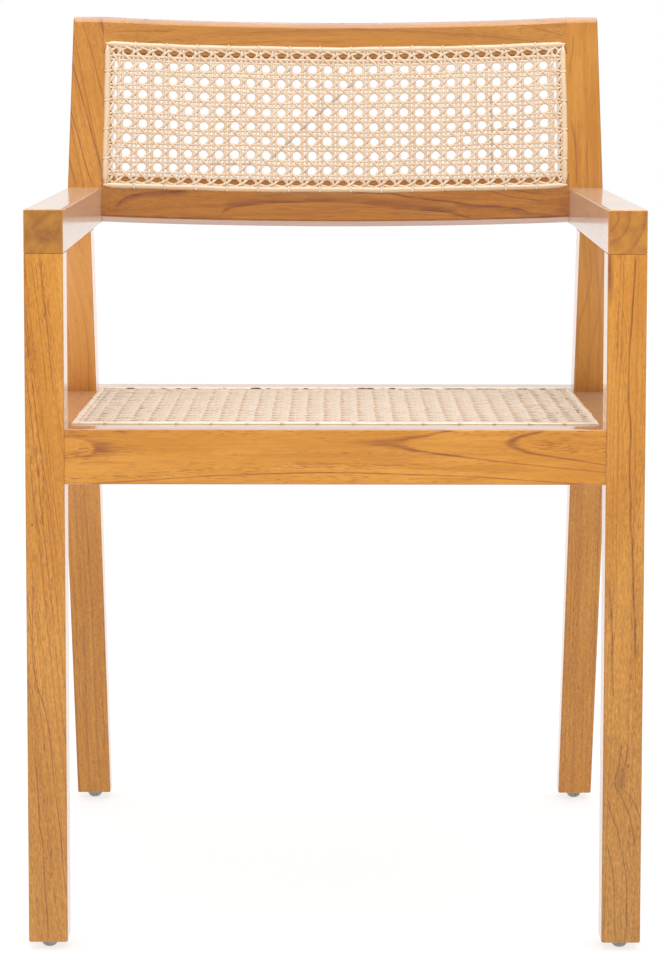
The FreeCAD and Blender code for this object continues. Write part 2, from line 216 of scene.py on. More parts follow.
# ---------------------------------------------------------------------- wood
# Each piece is cut from its own place in a log. Its grain is worked out in the
# piece's own directions (along, across, depth) as distance from the heart of
# the log, so faces show lines and arches and ends show rings.
LIGHT = (0.760, 0.333, 0.043)
HONEY = (0.670, 0.268, 0.022)
AMBER = (0.575, 0.205, 0.016)
DARK = (0.365, 0.100, 0.011)
DEEP = (0.250, 0.056, 0.010)
WORN_HIGHLIGHT = (0.820, 0.520, 0.270)
PALE = (0.800, 0.460, 0.200)
END_LIGHT = (0.610, 0.250, 0.028)
END_DARK = (0.430, 0.168, 0.020)


def wood(
    name,
    origin,
    along,
    across,
    depth,
    heart=(-70.0, 15.0),
    slope=(0.0, 0.0),
    arch=(0.0, 0.0),
    bend=None,
    lines=(),
    lobes=(),
    smudges=(),
    curves=(),
    spacing=6.0,
    rings=0.35,
    early=0.30,
    pores=0.6,
    dash=(13.0, 0.95),
    flock=None,
    wander=3.0,
    seed=0,
    tone=0.0,
    shade=(0.0, 1.0, 1.0, 1.0),
    tint=(1.0, 1.0, 1.0),
    paleness=(0.0, 0.0, 1.0, 0.0),
    shadow=None,
    mottle=None,
    top=1.0,
    rub_highlight=0.22,
    rim=0.30,
    flow=0.75,
    haze=0.25,
    plain=False,
    relief=0.20,
    gloss=0.10,
):
    """origin in mm; heart is the log's centre (across, depth) in mm at the
    origin; slope, arch and bend say how it drifts along the piece. lines are
    strong growth lines: distance from the heart, strength, width on the inner
    and the outer side, and where along the piece they begin and end. lobes are
    dark crescents round the tip of an arch: along, across, the sizes of the
    inner and the outer oval, strength. smudges are dark clouds: along, across,
    depth, their three sizes and strength. curves are growth lines that run
    their own course: (along, across) points, strength, how far the dark reaches
    below and above the line, and how it drifts with depth. early is where in a ring the wood
    starts to darken; dash is the length and width of a pore, and flock where
    across the piece pores grow rare. tone above 0 is browner; shade is a place
    along the piece and its brightness, twice, tint its colour there, paleness the
    same as shade for how pale it is painted, a painted reflection on some pieces,
    shadow the same across the piece for painted shadow on the wood behind the
    cane, and mottle the same for how flecked it is; top is the brightness of the
    faces square to across, painted shade; rub_highlight is how pale the rounded
    edges are painted, as highlight and wear, rim how dark they are painted, as
    shade, flow how strong the broad streaks are, haze how milky the lacquer is
    seen along the surface, plain keeps the lines to the ends, relief is the depth
    of the grain and gloss how soft the lacquer's shine is."""
    g = Graph(name)
    rnd = random.Random(seed)
    off = [rnd.uniform(-40, 40) for _ in range(6)]
    place = g.add("ShaderNodeTexCoord").outputs["Object"]
    here = g.vec("SUBTRACT", place, tuple(c / 1000 for c in origin))
    axes = [Vector(a).normalized() for a in (along, across, depth)]
    la, ua, wa = (g.vec("DOT_PRODUCT", here, tuple(a * 1000)) for a in axes)

    def drifted(c, k):
        if slope[k]:
            c = g.math("MULTIPLY_ADD", la, -slope[k], c)
        if arch[k]:
            c = g.math("MULTIPLY_ADD", g.math("MULTIPLY", la, la), -arch[k], c)
        if bend and k == 0:
            c = g.math("SUBTRACT", c, g.step(la, bend[0], bend[1], 0.0, bend[2]))
        return c

    ug, wg = drifted(ua, 0), drifted(wa, 1)

    def at(sl, su, sw, shift):
        return g.xyz(
            g.math("MULTIPLY_ADD", la, 1 / sl, off[shift]),
            g.math("MULTIPLY_ADD", ug, 1 / su, off[(shift + 2) % 6]),
            g.math("MULTIPLY_ADD", wg, 1 / sw, off[(shift + 4) % 6]),
        )

    slow = g.noise(at(190, 45, 45, 0), detail=2, colour=True)
    quick = g.noise(at(34, 9, 9, 1), detail=2, colour=True)
    s1, s2, s3 = g.parts(g.vec("SUBTRACT", slow, (0.5, 0.5, 0.5)))
    q1, q2, q3 = g.parts(g.vec("SUBTRACT", quick, (0.5, 0.5, 0.5)))

    def from_heart(c, k, s, q):
        c = g.math("ADD", c, -heart[k])
        c = g.math("MULTIPLY_ADD", s, 2 * wander, c)
        return g.math("MULTIPLY_ADD", q, 0.6 * wander, c)

    du, dw = from_heart(ug, 0, s1, q1), from_heart(wg, 1, s2, q2)
    radius = g.vec("LENGTH", g.xyz(du, dw, 0.0))

    # growth rings: each darkens slowly and stops sharply, none like the next
    turn = g.math("DIVIDE", radius, spacing)
    turn = g.math(
        "MULTIPLY_ADD", g.noise(g.xyz(turn, off[2], off[3]), scale=0.7), 1.9, turn
    )
    part = g.math("FRACT", turn)
    weight = g.span(g.white(g.math("FLOOR", turn)), 0, 1, 0.15, 1.0)
    late = g.math(
        "MULTIPLY", g.step(part, early, 0.96), g.step(part, 0.96, 1.0, 1.0, 0.0)
    )
    late = g.math("MULTIPLY", g.math("POWER", late, 2.0), weight)
    open_wood = g.math("MULTIPLY", g.step(part, 0.02, 0.42, 1.0, 0.0), weight)

    # fibres and pores, long and thin along the grain, pores most where a ring begins
    fibre = g.noise(at(30, 1.3, 1.3, 3), detail=3, rough=0.6)
    streak = g.noise(at(150, 6.0, 6.0, 5), detail=3, rough=0.6)
    gather = g.step(g.noise(at(260, 11, 11, 1), detail=2), 0.38, 0.62, 0.25, 1.0)
    if flock:
        rare = g.step(g.math("MULTIPLY_ADD", s1, 10.0, ua), flock[0], flock[1], 1.0, 0.28)
        gather = g.math("MULTIPLY", gather, rare)
    needle = g.noise(at(dash[0], dash[1], dash[1], 4), detail=1)
    pore = g.step(g.math("MULTIPLY_ADD", open_wood, 0.15, needle), 0.57, 0.68)
    pore = g.math("MULTIPLY", pore, gather)
    tick = g.step(g.noise(at(1.8 * dash[0], 1.9, 1.9, 2), detail=2), 0.50, 0.70)
    tick = g.math("MULTIPLY", tick, gather)
    cloud = g.noise(at(120, 30, 30, 2), detail=3, rough=0.55)
    spot = g.noise(at(60, 13, 13, 3), detail=3, rough=0.6)

    colour = g.mix(
        g.math("ADD", g.step(cloud, 0.34, 0.66), tone, clamp=True), LIGHT, HONEY
    )
    colour = g.mix(
        g.math("MULTIPLY", g.step(streak, 0.42, 0.66), flow + 0.2 * tone), colour, AMBER
    )

    # end grain drinks the finish and is darker
    face = g.add("ShaderNodeNewGeometry").outputs["Normal"]
    facing = [
        g.math("ABSOLUTE", g.vec("DOT_PRODUCT", face, tuple(a))) for a in axes
    ]
    end = g.step(facing[0], 0.80, 0.97)
    colour = g.mix(
        g.math("MULTIPLY", end, 0.92),
        colour, g.mix(g.step(spot, 0.32, 0.68), END_LIGHT, END_DARK),
    )

    colour = g.mix(g.math("MULTIPLY", late, rings, clamp=True), colour, DARK)
    broken = g.span(g.noise(at(26, 3, 3, 0), detail=2), 0.30, 0.62, 0.40, 1.0)
    band = None

    def darker(one):
        return one if band is None else g.math("MAXIMUM", band, one)

    def oval(places, sizes):
        terms = [
            g.math("MULTIPLY", g.math("SUBTRACT", c, c0), 1 / size) if size else 0.0
            for c, c0, size in zip((la, ua, wa), places, sizes)
        ]
        return g.vec("LENGTH", g.xyz(*terms))

    for r, strength, inner, outer, first, last in lines:
        far = g.math("SUBTRACT", radius, r)
        one = g.math(
            "MULTIPLY", g.step(far, -inner, 0.0), g.step(far, 0.0, outer, strength, 0.0)
        )
        if first is not None:
            one = g.math("MULTIPLY", one, g.step(la, first - 14, first + 14))
        if last is not None:
            one = g.math("MULTIPLY", one, g.step(la, last - 14, last + 14, 1.0, 0.0))
        band = darker(one)
    for l0, u0, rl, ru, ml, mu, strength in lobes:
        near = g.math("MULTIPLY_ADD", q1, 0.5, oval((l0, u0, 0), (rl, ru, 0)))
        far = g.math("MULTIPLY_ADD", q2, 0.5, oval((l0, u0, 0), (ml, mu, 0)))
        band = darker(
            g.math(
                "MULTIPLY", g.step(near, 0.88, 1.04), g.step(far, 0.45, 1.05, strength, 0.0)
            )
        )
    for l0, u0, w0, rl, ru, rw, strength in smudges:
        far = oval((l0, u0, w0), (rl, ru, rw))
        far = g.math("MULTIPLY_ADD", g.math("SUBTRACT", fibre, 0.5), 0.9, far)
        band = darker(g.step(far, 0.35, 1.0, strength, 0.0))
    for points, strength, below, above, tilt in curves:
        l0, l1 = points[0][0], points[-1][0]
        u0, u1 = min(p[1] for p in points) - 1, max(p[1] for p in points) + 1
        line = g.course(
            g.span(la, l0, l1, 0.0, 1.0),
            [((l - l0) / (l1 - l0), (u - u0) / (u1 - u0)) for l, u in points],
        )
        far = g.math("SUBTRACT", ua, g.span(line, 0.0, 1.0, u0, u1))
        far = g.math("MULTIPLY_ADD", q1, 1.2, far)
        if tilt:
            far = g.math("MULTIPLY_ADD", wa, tilt, far)
        one = g.math(
            "MULTIPLY", g.step(far, -below, 0.0), g.step(far, 0.0, above, strength, 0.0)
        )
        one = g.math("MULTIPLY", one, g.step(la, l0 - 3, l0 + 8))
        band = darker(g.math("MULTIPLY", one, g.step(la, l1 - 8, l1 + 3, 1.0, 0.0)))
    if band is not None:
        if plain:
            band = g.math("MULTIPLY", band, end)
        colour = g.mix(g.math("MULTIPLY", band, broken), colour, DEEP)
    colour = g.mix(
        g.math("MULTIPLY", g.step(fibre, 0.46, 0.80), 0.40), colour, AMBER
    )
    across_grain = g.math("SUBTRACT", 1.0, end)
    pore = g.math("MULTIPLY", pore, across_grain)
    tick = g.math("MULTIPLY", tick, across_grain)
    colour = g.mix(g.math("MULTIPLY", tick, 0.42 * pores), colour, DARK)
    colour = g.mix(g.math("MULTIPLY", pore, pores), colour, DEEP)

    # painted highlight: rounded edges are paler, broken up like wear
    flat = g.math("MAXIMUM", facing[0], g.math("MAXIMUM", facing[1], facing[2]))
    edge = g.math(
        "MULTIPLY",
        g.step(flat, 0.76, 0.95, 1.0, 0.0),
        g.step(g.noise(at(22, 6, 6, 1), detail=3), 0.38, 0.62),
    )
    # paler along the piece; on the rear legs and the seat's side rails a painted reflection
    if paleness[1] or paleness[3]:
        colour = g.mix(g.span(la, *paleness[::2], *paleness[1::2]), colour, PALE)
    colour = g.mix(g.math("MULTIPLY", edge, rub_highlight), colour, WORN_HIGHLIGHT)
    # painted shade: rounded edges darker, unevenly
    if rim:
        painted_edge_shade = g.step(flat, 0.80, 0.96, 1.0, 0.0)
        painted_edge_shade = g.math("MULTIPLY", painted_edge_shade, g.span(spot, 0.3, 0.7, 0.6 * rim, 1.2 * rim))
        colour = g.mix(painted_edge_shade, colour, DARK)
    level = None
    if shade[1] != 1.0 or shade[3] != 1.0:
        level = g.span(la, shade[0], shade[2], shade[1], shade[3])
    if shadow:
        behind = g.step(ua, shadow[0], shadow[2], shadow[1], shadow[3])
        front = g.step(facing[2], 0.40, 0.75)
        behind = g.math(
            "MULTIPLY_ADD", g.math("SUBTRACT", behind, 1.0), front, 1.0
        )
        level = behind if level is None else g.math("MULTIPLY", level, behind)
    if mottle:
        fleck = g.noise(at(4.5, 1.5, 1.5, 0), detail=3, rough=0.65)
        uneven = g.math(
            "MULTIPLY_ADD", g.math("SUBTRACT", fleck, 0.5),
            g.span(la, mottle[0], mottle[2], mottle[1], mottle[3]), 1.0,
        )
        level = uneven if level is None else g.math("MULTIPLY", level, uneven)
    # painted shade on the faces square to across
    if top != 1.0:
        painted_top_shade = g.step(facing[1], 0.75, 0.97, 1.0, top)
        level = painted_top_shade if level is None else g.math("MULTIPLY", level, painted_top_shade)
    if level is not None:
        colour = g.vec(
            "MULTIPLY", colour, g.xyz(*(g.math("MULTIPLY", level, t) for t in tint))
        )

    rough = g.math("MULTIPLY_ADD", fibre, 0.22, 0.30)
    rough = g.math("MULTIPLY_ADD", edge, 0.12, rough, clamp=True)
    height = g.math("MULTIPLY_ADD", fibre, 0.35, g.math("MULTIPLY", pore, -0.8))
    height = g.math("MULTIPLY_ADD", late, 0.25, height)
    g.set(
        Base_Color=colour,
        Roughness=rough,
        IOR=1.45,
        Specular_IOR_Level=0.05,
        Coat_Weight=1.0,
        Coat_Roughness=gloss,
        Coat_IOR=1.46,
        Sheen_Weight=haze,
        Sheen_Roughness=0.25,
        Normal=g.bump(height, relief, 0.0004),
    )
    return g.mat


def dress(node, material):
    ob = nodes[node]
    ob.data.materials.clear()
    ob.data.materials.append(material)


X, Y, Z = (1, 0, 0), (0, 1, 0), (0, 0, 1)
RUN = Vector((0, REAR_TOP_Y - REAR_FOOT_Y - 7, ARM_UNDER)).normalized()
FACE = Vector((0, RUN.z, -RUN.y))  # from the front face of a rear leg inwards
UP = Vector((0, SIN, COS))  # up the face of the back
IN = Vector((0, COS, -SIN))  # into the back from its face


def front_of(y, z, x=0.0):
    return (x, y + SHIFT, z + LIFT)


dress(
    "left_front_leg",
    wood(
        "wood_left_front_leg", front_of(0, 480, -MID), Z, X, Y,
        heart=(-72, 30), slope=(-0.095, 0.02), wander=2.6, spacing=4.4, rings=0.36,
        early=0.70, seed=11, pores=0.64, dash=(9.0, 0.75), flock=(2.0, 13.0),
        flow=0.42, relief=0.10,
        lines=((62.0, 0.55, 0.9, 0.4, None, None), (67.0, 0.62, 1.0, 0.4, None, None),
               (71.5, 0.60, 0.9, 0.4, None, None), (76.0, 0.50, 1.0, 0.4, None, None),
               (81.0, 0.45, 0.9, 0.4, None, -20), (55.0, 0.5, 0.9, 0.4, None, None),
               (49.0, 0.5, 0.9, 0.4, None, None), (43.0, 0.5, 0.9, 0.4, None, None),
               (90.0, 0.45, 1.0, 0.4, None, None)),
        curves=(
            (((21, 8.7), (43, 6.3), (58, 5.0), (82, 2.8), (97, 1.8), (109, -0.3), (121, -1.1),
              (145, -4.0)), 0.75, 0.9, 0.5, 0.4),
            (((21, -6.3), (34, -8.4), (47, -10.0), (60, -12.1), (78, -13.8), (109, -16.2)),
             0.7, 0.8, 0.5, 0.4),
            (((21, 2.6), (38, 1.1), (56, -0.6), (74, -2.3), (91, -3.9), (106, -6.0), (118, -7.7),
              (144, -10.6)), 0.75, 1.0, 0.5, 0.4),
            (((21, -1.8), (36, -4.3), (51, -5.9), (65, -6.7)), 0.65, 0.8, 0.5, 0.4),
            (((-145, 15.5), (-130, 11.2), (-114, 8.6), (-98, 6.1), (-74, 3.5), (-56, 0.9),
              (-20, -4.0)), 0.75, 0.8, 0.5, 0.4),
            (((-111, 14.9), (-96, 11.4), (-78, 8.9), (-56, 6.4), (-10, 2.0)), 0.7, 0.8, 0.5, 0.4),
            (((-205, -12.5), (-188, -11.9), (-168, -11.3), (-151, -11.2), (-133, -12.5)),
             0.7, 0.9, 0.6, 0.4),
            (((-475, -0.5), (-459, -0.4), (-441, -1.4), (-424, -2.6), (-407, -3.4), (-384, -4.3),
              (-367, -7.0), (-341, -7.9), (-300, -12.0)), 1.0, 1.1, 0.9, 0.4),
            (((-432, 16.6), (-418, 15.0), (-401, 13.5), (-378, 12.1), (-361, 10.4), (-341, 7.9),
              (-327, 6.2), (-290, 3.0), (-272, 0.4), (-254, -4.1), (-240, -8.5), (-222, -11.3),
              (-196, -12.4)), 1.0, 1.2, 0.9, 0.4),
        ),
        smudges=((-96.0, -11.6, 0, 2.2, 1.4, 0, 0.8),),
        shade=(-450, 0.77, 100, 0.99), paleness=(-470, 0.18, 0, 0.0),
        mottle=(-250, 1.0, 120, 0.8),
    ),
)
dress(
    "right_front_leg",
    wood(
        "wood_right_front_leg", front_of(0, 480, MID), Z, X, Y,
        heart=(-95, 40), slope=(0.006, -0.02), wander=4.6, spacing=4.8, rings=0.24,
        early=0.68, seed=23, pores=0.50, dash=(9.0, 0.75), flow=0.42, relief=0.10,
        lines=((94.0, 0.42, 1.0, 0.4, None, None), (97.0, 0.46, 1.2, 0.5, None, None),
               (110.5, 0.3, 1.2, 0.4, None, None)),
        curves=(
            (((-216, 10.5), (-184, 9.7), (-167, 8.6), (-150, 8.1), (-133, 7.4), (-108, 6.1),
              (-88, 4.7), (-72, 5.0), (-55, 3.8), (-32, 3.7), (-19, 4.4), (-1, 3.7), (17, 2.1),
              (43, 2.0), (70, 3.0), (92, 4.5), (107, 5.3), (128, 6.4), (146, 7.2)),
             1.0, 1.9, 1.1, 0.3),
            (((66, -8.9), (79, -8.5), (96, -7.8), (107, -7.5), (128, -6.8), (146, -5.6)),
             0.7, 0.8, 0.6, 0.3),
            (((-252, -8.2), (-234, -9.2), (-216, -9.6), (-184, -10.4), (-162, -11.9), (-145, -13.0)),
             0.9, 3.5, 0.8, 0.3),
            (((-391, 12.8), (-375, 10.0), (-356, 5.3), (-342, -0.5), (-326, -7.0), (-321, -5.8),
              (-312, -3.2), (-290, -1.0)), 1.0, 1.2, 1.2, 0.3),
            (((-363, 17.0), (-354, 13.7), (-341, 6.9), (-332, 0.0), (-322, -0.1), (-314, 1.8),
              (-290, 5.0)), 0.95, 1.2, 0.9, 0.3),
            (((-465, 5.5), (-439, 5.0), (-419, 4.8), (-405, 2.7), (-389, -0.6), (-373, -4.0),
              (-359, -8.7), (-342, -13.3)), 1.0, 1.2, 0.9, 0.3),
            (((-474, -4.3), (-458, -5.7), (-432, -6.0), (-412, -7.6), (-398, -10.4),
              (-384, -13.5)), 1.0, 1.1, 0.8, 0.3),
        ),
        smudges=((127.0, -16.5, 0, 36.0, 5.5, 3.5, 0.95), (66.0, -8.9, 0, 3.2, 1.4, 4.0, 0.85),
                 (-324.0, -1.0, 0, 20.0, 7.0, 8.0, 0.50),
                 (-313.5, 4.8, 0, 2.6, 1.7, 6.0, 0.95)),
        shade=(-450, 0.68, 100, 0.99), paleness=(-470, 0.20, 0, 0.0),
        mottle=(-250, 1.3, 60, 0.5),
    ),
)
for side, sign, seed in (("left", -1, 31), ("right", 1, 47)):
    dress(
        f"{side}_rear_leg",
        wood(
            f"wood_{side}_rear_leg", front_of(REAR_FOOT_Y, 0, sign * MID), RUN, X, FACE,
            heart=(-65, 45) if sign < 0 else (-70, 50), slope=(-0.008, 0.01),
            bend=(530, 720, -26) if sign < 0 else (540, 720, -12),
            wander=2.8, spacing=5.0, rings=0.36 if sign < 0 else 0.48, early=0.50, seed=seed, tone=0.45,
            pores=0.52, dash=(10.0, 0.80), flow=0.60, relief=0.10,
            # painted light: the upper ends are painted brighter, the left one most, and paler, as light and
            # its reflection fall there
            shade=(250, 0.80, 600, 1.10 if sign < 0 else 0.91),
            paleness=(300, 0.12, 600, 0.50 if sign < 0 else 0.40),
            lines=((91.6, 0.85, 1.4, 0.5, 480, None), (67.0, 0.5, 2.4, 0.7, None, None),
                   (76.0, 0.45, 1.6, 0.6, None, None), (84.0, 0.4, 1.4, 0.6, None, 470))
            if sign < 0 else
            ((86.5, 0.70, 1.4, 0.5, 480, None), (95.0, 0.6, 2.4, 0.6, 480, None),
             (78.0, 0.45, 1.6, 0.6, None, None), (100.0, 0.45, 1.4, 0.6, None, 470)),
            smudges=((564.0, -0.8, 0, 2.0, 1.4, 0, 0.95),) if sign < 0 else (),
            mottle=(380, 0.9, 500, 0.12) if sign < 0 else (380, 1.1, 500, 0.12),
            curves=() if sign < 0 else (
                (((520, -17.3), (536, -16.3), (558, -14.6), (578, -10.3), (589, -8.2), (615, -4.9),
                  (645, -7.4)), 0.60, 3.0, 1.6, 0.0),
                (((500, -3.0), (530, -1.5), (560, 2.5), (600, 6.0), (640, 7.0)), 0.45, 2.6, 1.4, 0.0),
            ),
        ),
    )
    dress(
        f"{side}_arm",
        wood(
            f"wood_{side}_arm", front_of(0, 645, sign * MID), Y, X, Z,
            heart=(-25, 15) if sign > 0 else (34, -30),
            slope=(0.03, 0.02), wander=3.0, spacing=9.0, rings=0.10, seed=seed + 2,
            tone=0.1, pores=0.16, paleness=(0, 0.0, 420, 0.12), gloss=0.14, rim=0.16,
            plain=True, relief=0.06,
            haze=0.25, shade=(0, 0.98 if sign > 0 else 0.82, 70, 0.69 if sign > 0 else 0.75),
            lines=((17.0, 0.42, 3.0, 1.2, None, None), (27.0, 0.55, 3.6, 1.0, None, None),
                   (41.0, 0.50, 4.5, 1.2, None, None))
            if sign > 0 else
            ((38.0, 0.35, 5.0, 3.0, None, None), (55.0, 0.30, 6.0, 3.0, None, None)),
            smudges=() if sign > 0 else ((0, 1.0, -3.0, 40.0, 14.0, 10.0, 0.42),),
        ),
    )
    dress(
        f"seat_{side}_rail",
        wood(
            f"wood_seat_{side}_rail", front_of(40, 450, sign * MID), Y, X, Z,
            heart=(20 * sign, -60), slope=(0.01, -0.02), wander=4.0, spacing=6.5,
            # painted reflection: both rails are paled all along; painted shade: the right rail is darker
            seed=seed + 4, tone=0.3, paleness=(0, 0.25, 400, 0.25), gloss=0.14, haze=0.18,
            shade=(0, 0.87, 400, 0.84) if sign < 0 else (0, 0.60, 400, 0.55),
        ),
    )
dress(
    "left_back_stile",
    wood(
        "wood_left_back_stile", front_of(BACK_Y, BACK_ZERO_Z, -MID), UP, X, IN,
        heart=(-85, 25), slope=(-0.205, 0.03), wander=2.0, spacing=6.5, rings=0.26,
        early=0.45, pores=0.34, dash=(9.0, 0.8),
        lines=((63.0, 0.55, 1.6, 0.5, None, None), (87.0, 0.55, 1.6, 0.5, None, None),
               (108.0, 0.55, 1.6, 0.5, None, None)),
        curves=(
            (((-4, 21.6), (7, 18.6), (22, 14.5), (53, 6.0), (85, -3.1), (121, -13.3), (134, -17.0)),
             1.0, 1.4, 1.1, 0.0),
            (((-8, 9.9), (22, -0.5), (53, -9.0), (82, -17.8)), 1.0, 1.5, 1.1, 0.0),
            (((-8, -7.4), (19, -14.8), (29, -17.6)), 1.0, 1.3, 1.0, 0.0),
            (((88, 18.0), (109, 12.3), (143, 3.5), (157, -0.9), (172, -5.0)), 0.75, 1.2, 0.9, 0.0),
            (((144, 21.5), (149, 20.1), (161, 15.5), (171, 13.0), (182, 11.0)), 0.95, 0.8, 6.0, 0.0),
        ),
        shadow=(24.0, 1.0, 27.5, 0.40), haze=0.10, rim=0.60, flow=0.6,
        mottle=(0, 0.6, 170, 0.8), seed=61, tone=0.1, shade=(0, 0.90, 170, 0.87), paleness=(0, 0.06, 170, 0.06),
    ),
)
dress(
    "right_back_stile",
    wood(
        "wood_right_back_stile", front_of(BACK_Y, BACK_ZERO_Z, MID), UP, X, IN,
        heart=(-130, 60), slope=(0.012, 0.02), wander=3.0, spacing=7.5, rings=0.12,
        early=0.45, seed=67, tone=0.05, pores=0.24, dash=(14.0, 0.8),
        curves=(
            (((-6, -9.2), (6, -9.4), (30, -9.7), (46, -11.1), (64, -13.9)), 0.70, 2.2, 0.9, 0.0),
            (((112, -15.5), (126, -14.0), (140, -11.5), (158, -10.5)), 0.55, 1.6, 0.8, 0.0),
            (((-6, 2.5), (18, 1.5), (44, 2.0)), 0.45, 1.8, 0.9, 0.0),
        ),
        shade=(0, 0.83, 170, 0.84), shadow=(-27.5, 0.40, -24.0, 1.0),
        haze=0.10, rim=0.60, flow=0.6,
    ),
)
dress(
    "back_top_rail",
    wood(
        "wood_back_top_rail", front_of(BACK_Y, BACK_ZERO_Z), X, UP, IN,
        heart=(60, 150), slope=(0.012, 0.0), wander=3.0, spacing=7.0, rings=0.30,
        lines=((170.0, 0.45, 3.0, 0.8, None, None), (163.0, 0.5, 1.6, 0.6, None, -60)),
        seed=71, tone=0.25, pores=0.42, dash=(24.0, 0.9), paleness=(-240, 0.06, 240, 0.06),
        curves=(
            (((172, 172), (188, 170.4), (206, 165.8), (223, 160.7), (236, 156.5)), 0.8, 0.7, 0.9, 0.0),
            (((-238, 157), (-220, 160.9), (-198, 162.4), (-170, 162.8)), 0.6, 0.8, 1.4, 0.0),
        ),
        shade=(-200, 0.82, 200, 0.82), shadow=(140.5, 0.78, 145.5, 1.0),
        haze=0.10, rim=0.70, flow=0.6,
    ),
)
dress(
    "back_bottom_rail",
    wood(
        # the bow of the rail cuts the rings in long flat arches
        "wood_back_bottom_rail", front_of(BACK_Y, BACK_ZERO_Z), X, UP, IN,
        heart=(-300, 262), slope=(0.004, 0.0), wander=1.3, spacing=13.0,
        rings=0.20, seed=83, tone=0.5, pores=0.40, dash=(24.0, 0.9),
        shade=(-200, 0.66, 200, 0.70), tint=(1.0, 0.93, 0.97),
        shadow=(-6.0, 1.0, 0.0, 0.95), haze=0.0,
        lines=((378.0, 0.30, 1.6, 0.6, 60, None), (364.0, 0.30, 1.6, 0.6, None, None)),
        curves=(
            (((-119, -35.5), (-111, -27.0), (-100, -23.0), (-79, -20.6), (-57, -18.3), (-19, -17.3),
              (2, -17.2), (24, -18.5), (46, -21.4), (68, -24.6), (89, -26.4), (106, -28.1),
              (128, -33.1), (140, -36.5)), 0.95, 0.8, 2.4, 0.0),
            (((-116, -33.0), (-100, -23.0), (-79, -20.6), (-57, -18.3), (-19, -17.3), (2, -17.2),
              (24, -18.5), (46, -21.4), (68, -24.6), (89, -26.4), (106, -28.1), (128, -33.1)),
             0.78, 0.5, 13.0, 0.0),
            (((15, -7.9), (57, -9.3), (75, -12.8), (105, -16.7), (121, -19.1), (149, -23.7),
              (166, -24.6), (201, -32.3)), 0.95, 0.8, 2.8, 0.0),
            (((121, -19.1), (149, -23.7), (166, -24.6), (201, -32.3), (232, -36.0)),
             0.60, 8.0, 1.4, 0.0),
            (((156, -7.3), (178, -13.9), (198, -17.7), (216, -20.3)), 0.90, 0.8, 1.2, 0.0),
            (((178, -6.4), (194, -9.8), (222, -13.8)), 0.85, 0.8, 1.2, 0.0),
            (((-227, -27.5), (-221, -21.3), (-215, -16.8), (-204, -13.1), (-192, -10.9),
              (-169, -8.4), (-150, -7.0)), 1.0, 7.5, 1.2, 0.0),
        ),
    ),
)
dress(
    "seat_front_rail",
    wood(
        # the heart curves away behind the middle of the rail
        "wood_seat_front_rail", front_of(1.5, 445), X, Z, Y,
        heart=(12, 60), slope=(0.004, -0.0019), arch=(0.0, -0.000104), wander=0.8,
        spacing=7.0, rings=0.14, pores=0.50, seed=97, dash=(10.0, 0.85),
        lines=((57.0, 0.90, 0.34, 0.34, 40, None),
               (59.70, 0.85, 0.22, 0.34, 0, None), (65.6, 0.80, 0.50, 0.40, None, None)),
        # top paints shade on the rail's top and underside
        lobes=((-244.0, 8.0, 32.0, 9.5, 74.0, 13.0, 0.80),), flow=0.6, top=0.66,
    ),
)
dress(
    "seat_rear_rail",
    wood(
        "wood_seat_rear_rail", front_of(400, 440), X, Z, Y,
        heart=(-20, 70), slope=(0.01, 0.01), wander=4.0, spacing=6.5, seed=101,
        # top paints shade on the rail's top and underside
        tone=0.2, shade=(-200, 0.95, 200, 0.95), gloss=0.14, haze=0.27, top=0.70,
    ),
)


# -------------------------------------------------------- dowels and glides
def dowel(name, along, seed):
    g = Graph(name)
    rnd = random.Random(seed)
    place = g.add("ShaderNodeTexCoord").outputs["Object"]
    a = Vector(along)
    fine = tuple(900 * (1 - abs(c)) + 50 * abs(c) for c in a)
    mixed = g.add("ShaderNodeVectorMath", operation="MULTIPLY_ADD")
    g.put(mixed.inputs[0], place)
    mixed.inputs[1].default_value = fine
    mixed.inputs[2].default_value = tuple(rnd.uniform(-30, 30) for _ in range(3))
    grain = g.noise(mixed.outputs[0], detail=4, rough=0.6)
    colour = g.mix(g.step(grain, 0.35, 0.7), (0.62, 0.42, 0.22), (0.43, 0.25, 0.11))
    g.set(
        Base_Color=colour,
        Roughness=g.span(grain, 0.2, 0.8, 0.55, 0.8),
        Normal=g.bump(grain, 0.3, 0.0003),
    )
    return g.mat


for node, axis, seed in (
    ("front_leg_dowels", Z, 1), ("rear_leg_dowels", Z, 2), ("arm_back_dowels", Y, 3),
    ("front_rail_dowels", X, 4), ("side_rail_dowels", Y, 5), ("rear_rail_dowels", X, 6),
    ("back_rail_dowels", X, 7),
):
    dress(node, dowel(f"raw_{node}", axis, seed))


def glide_metal():
    g = Graph("glide_nickel")
    place = g.add("ShaderNodeTexCoord").outputs["Object"]
    mm = g.vec("MULTIPLY", place, (1000, 1000, 1000))
    dull = g.noise(mm, scale=0.35, detail=4, rough=0.6)
    fine = g.noise(g.vec("MULTIPLY", mm, (1, 1, 6)), scale=1.2, detail=3, rough=0.7)
    scuff = g.step(g.noise(g.vec("MULTIPLY", mm, (0.4, 3, 1)), scale=1.4, detail=2), 0.58, 0.7)
    colour = g.mix(g.step(dull, 0.35, 0.7), (0.36, 0.35, 0.34), (0.20, 0.195, 0.19))
    colour = g.mix(g.math("MULTIPLY", scuff, 0.5), colour, (0.5, 0.49, 0.47))
    g.set(
        Base_Color=colour,
        Metallic=0.85,
        Roughness=g.span(fine, 0.3, 0.7, 0.34, 0.55),
        Normal=g.bump(fine, 0.15, 0.0003),
    )
    return g.mat


dress("leg_glides", glide_metal())


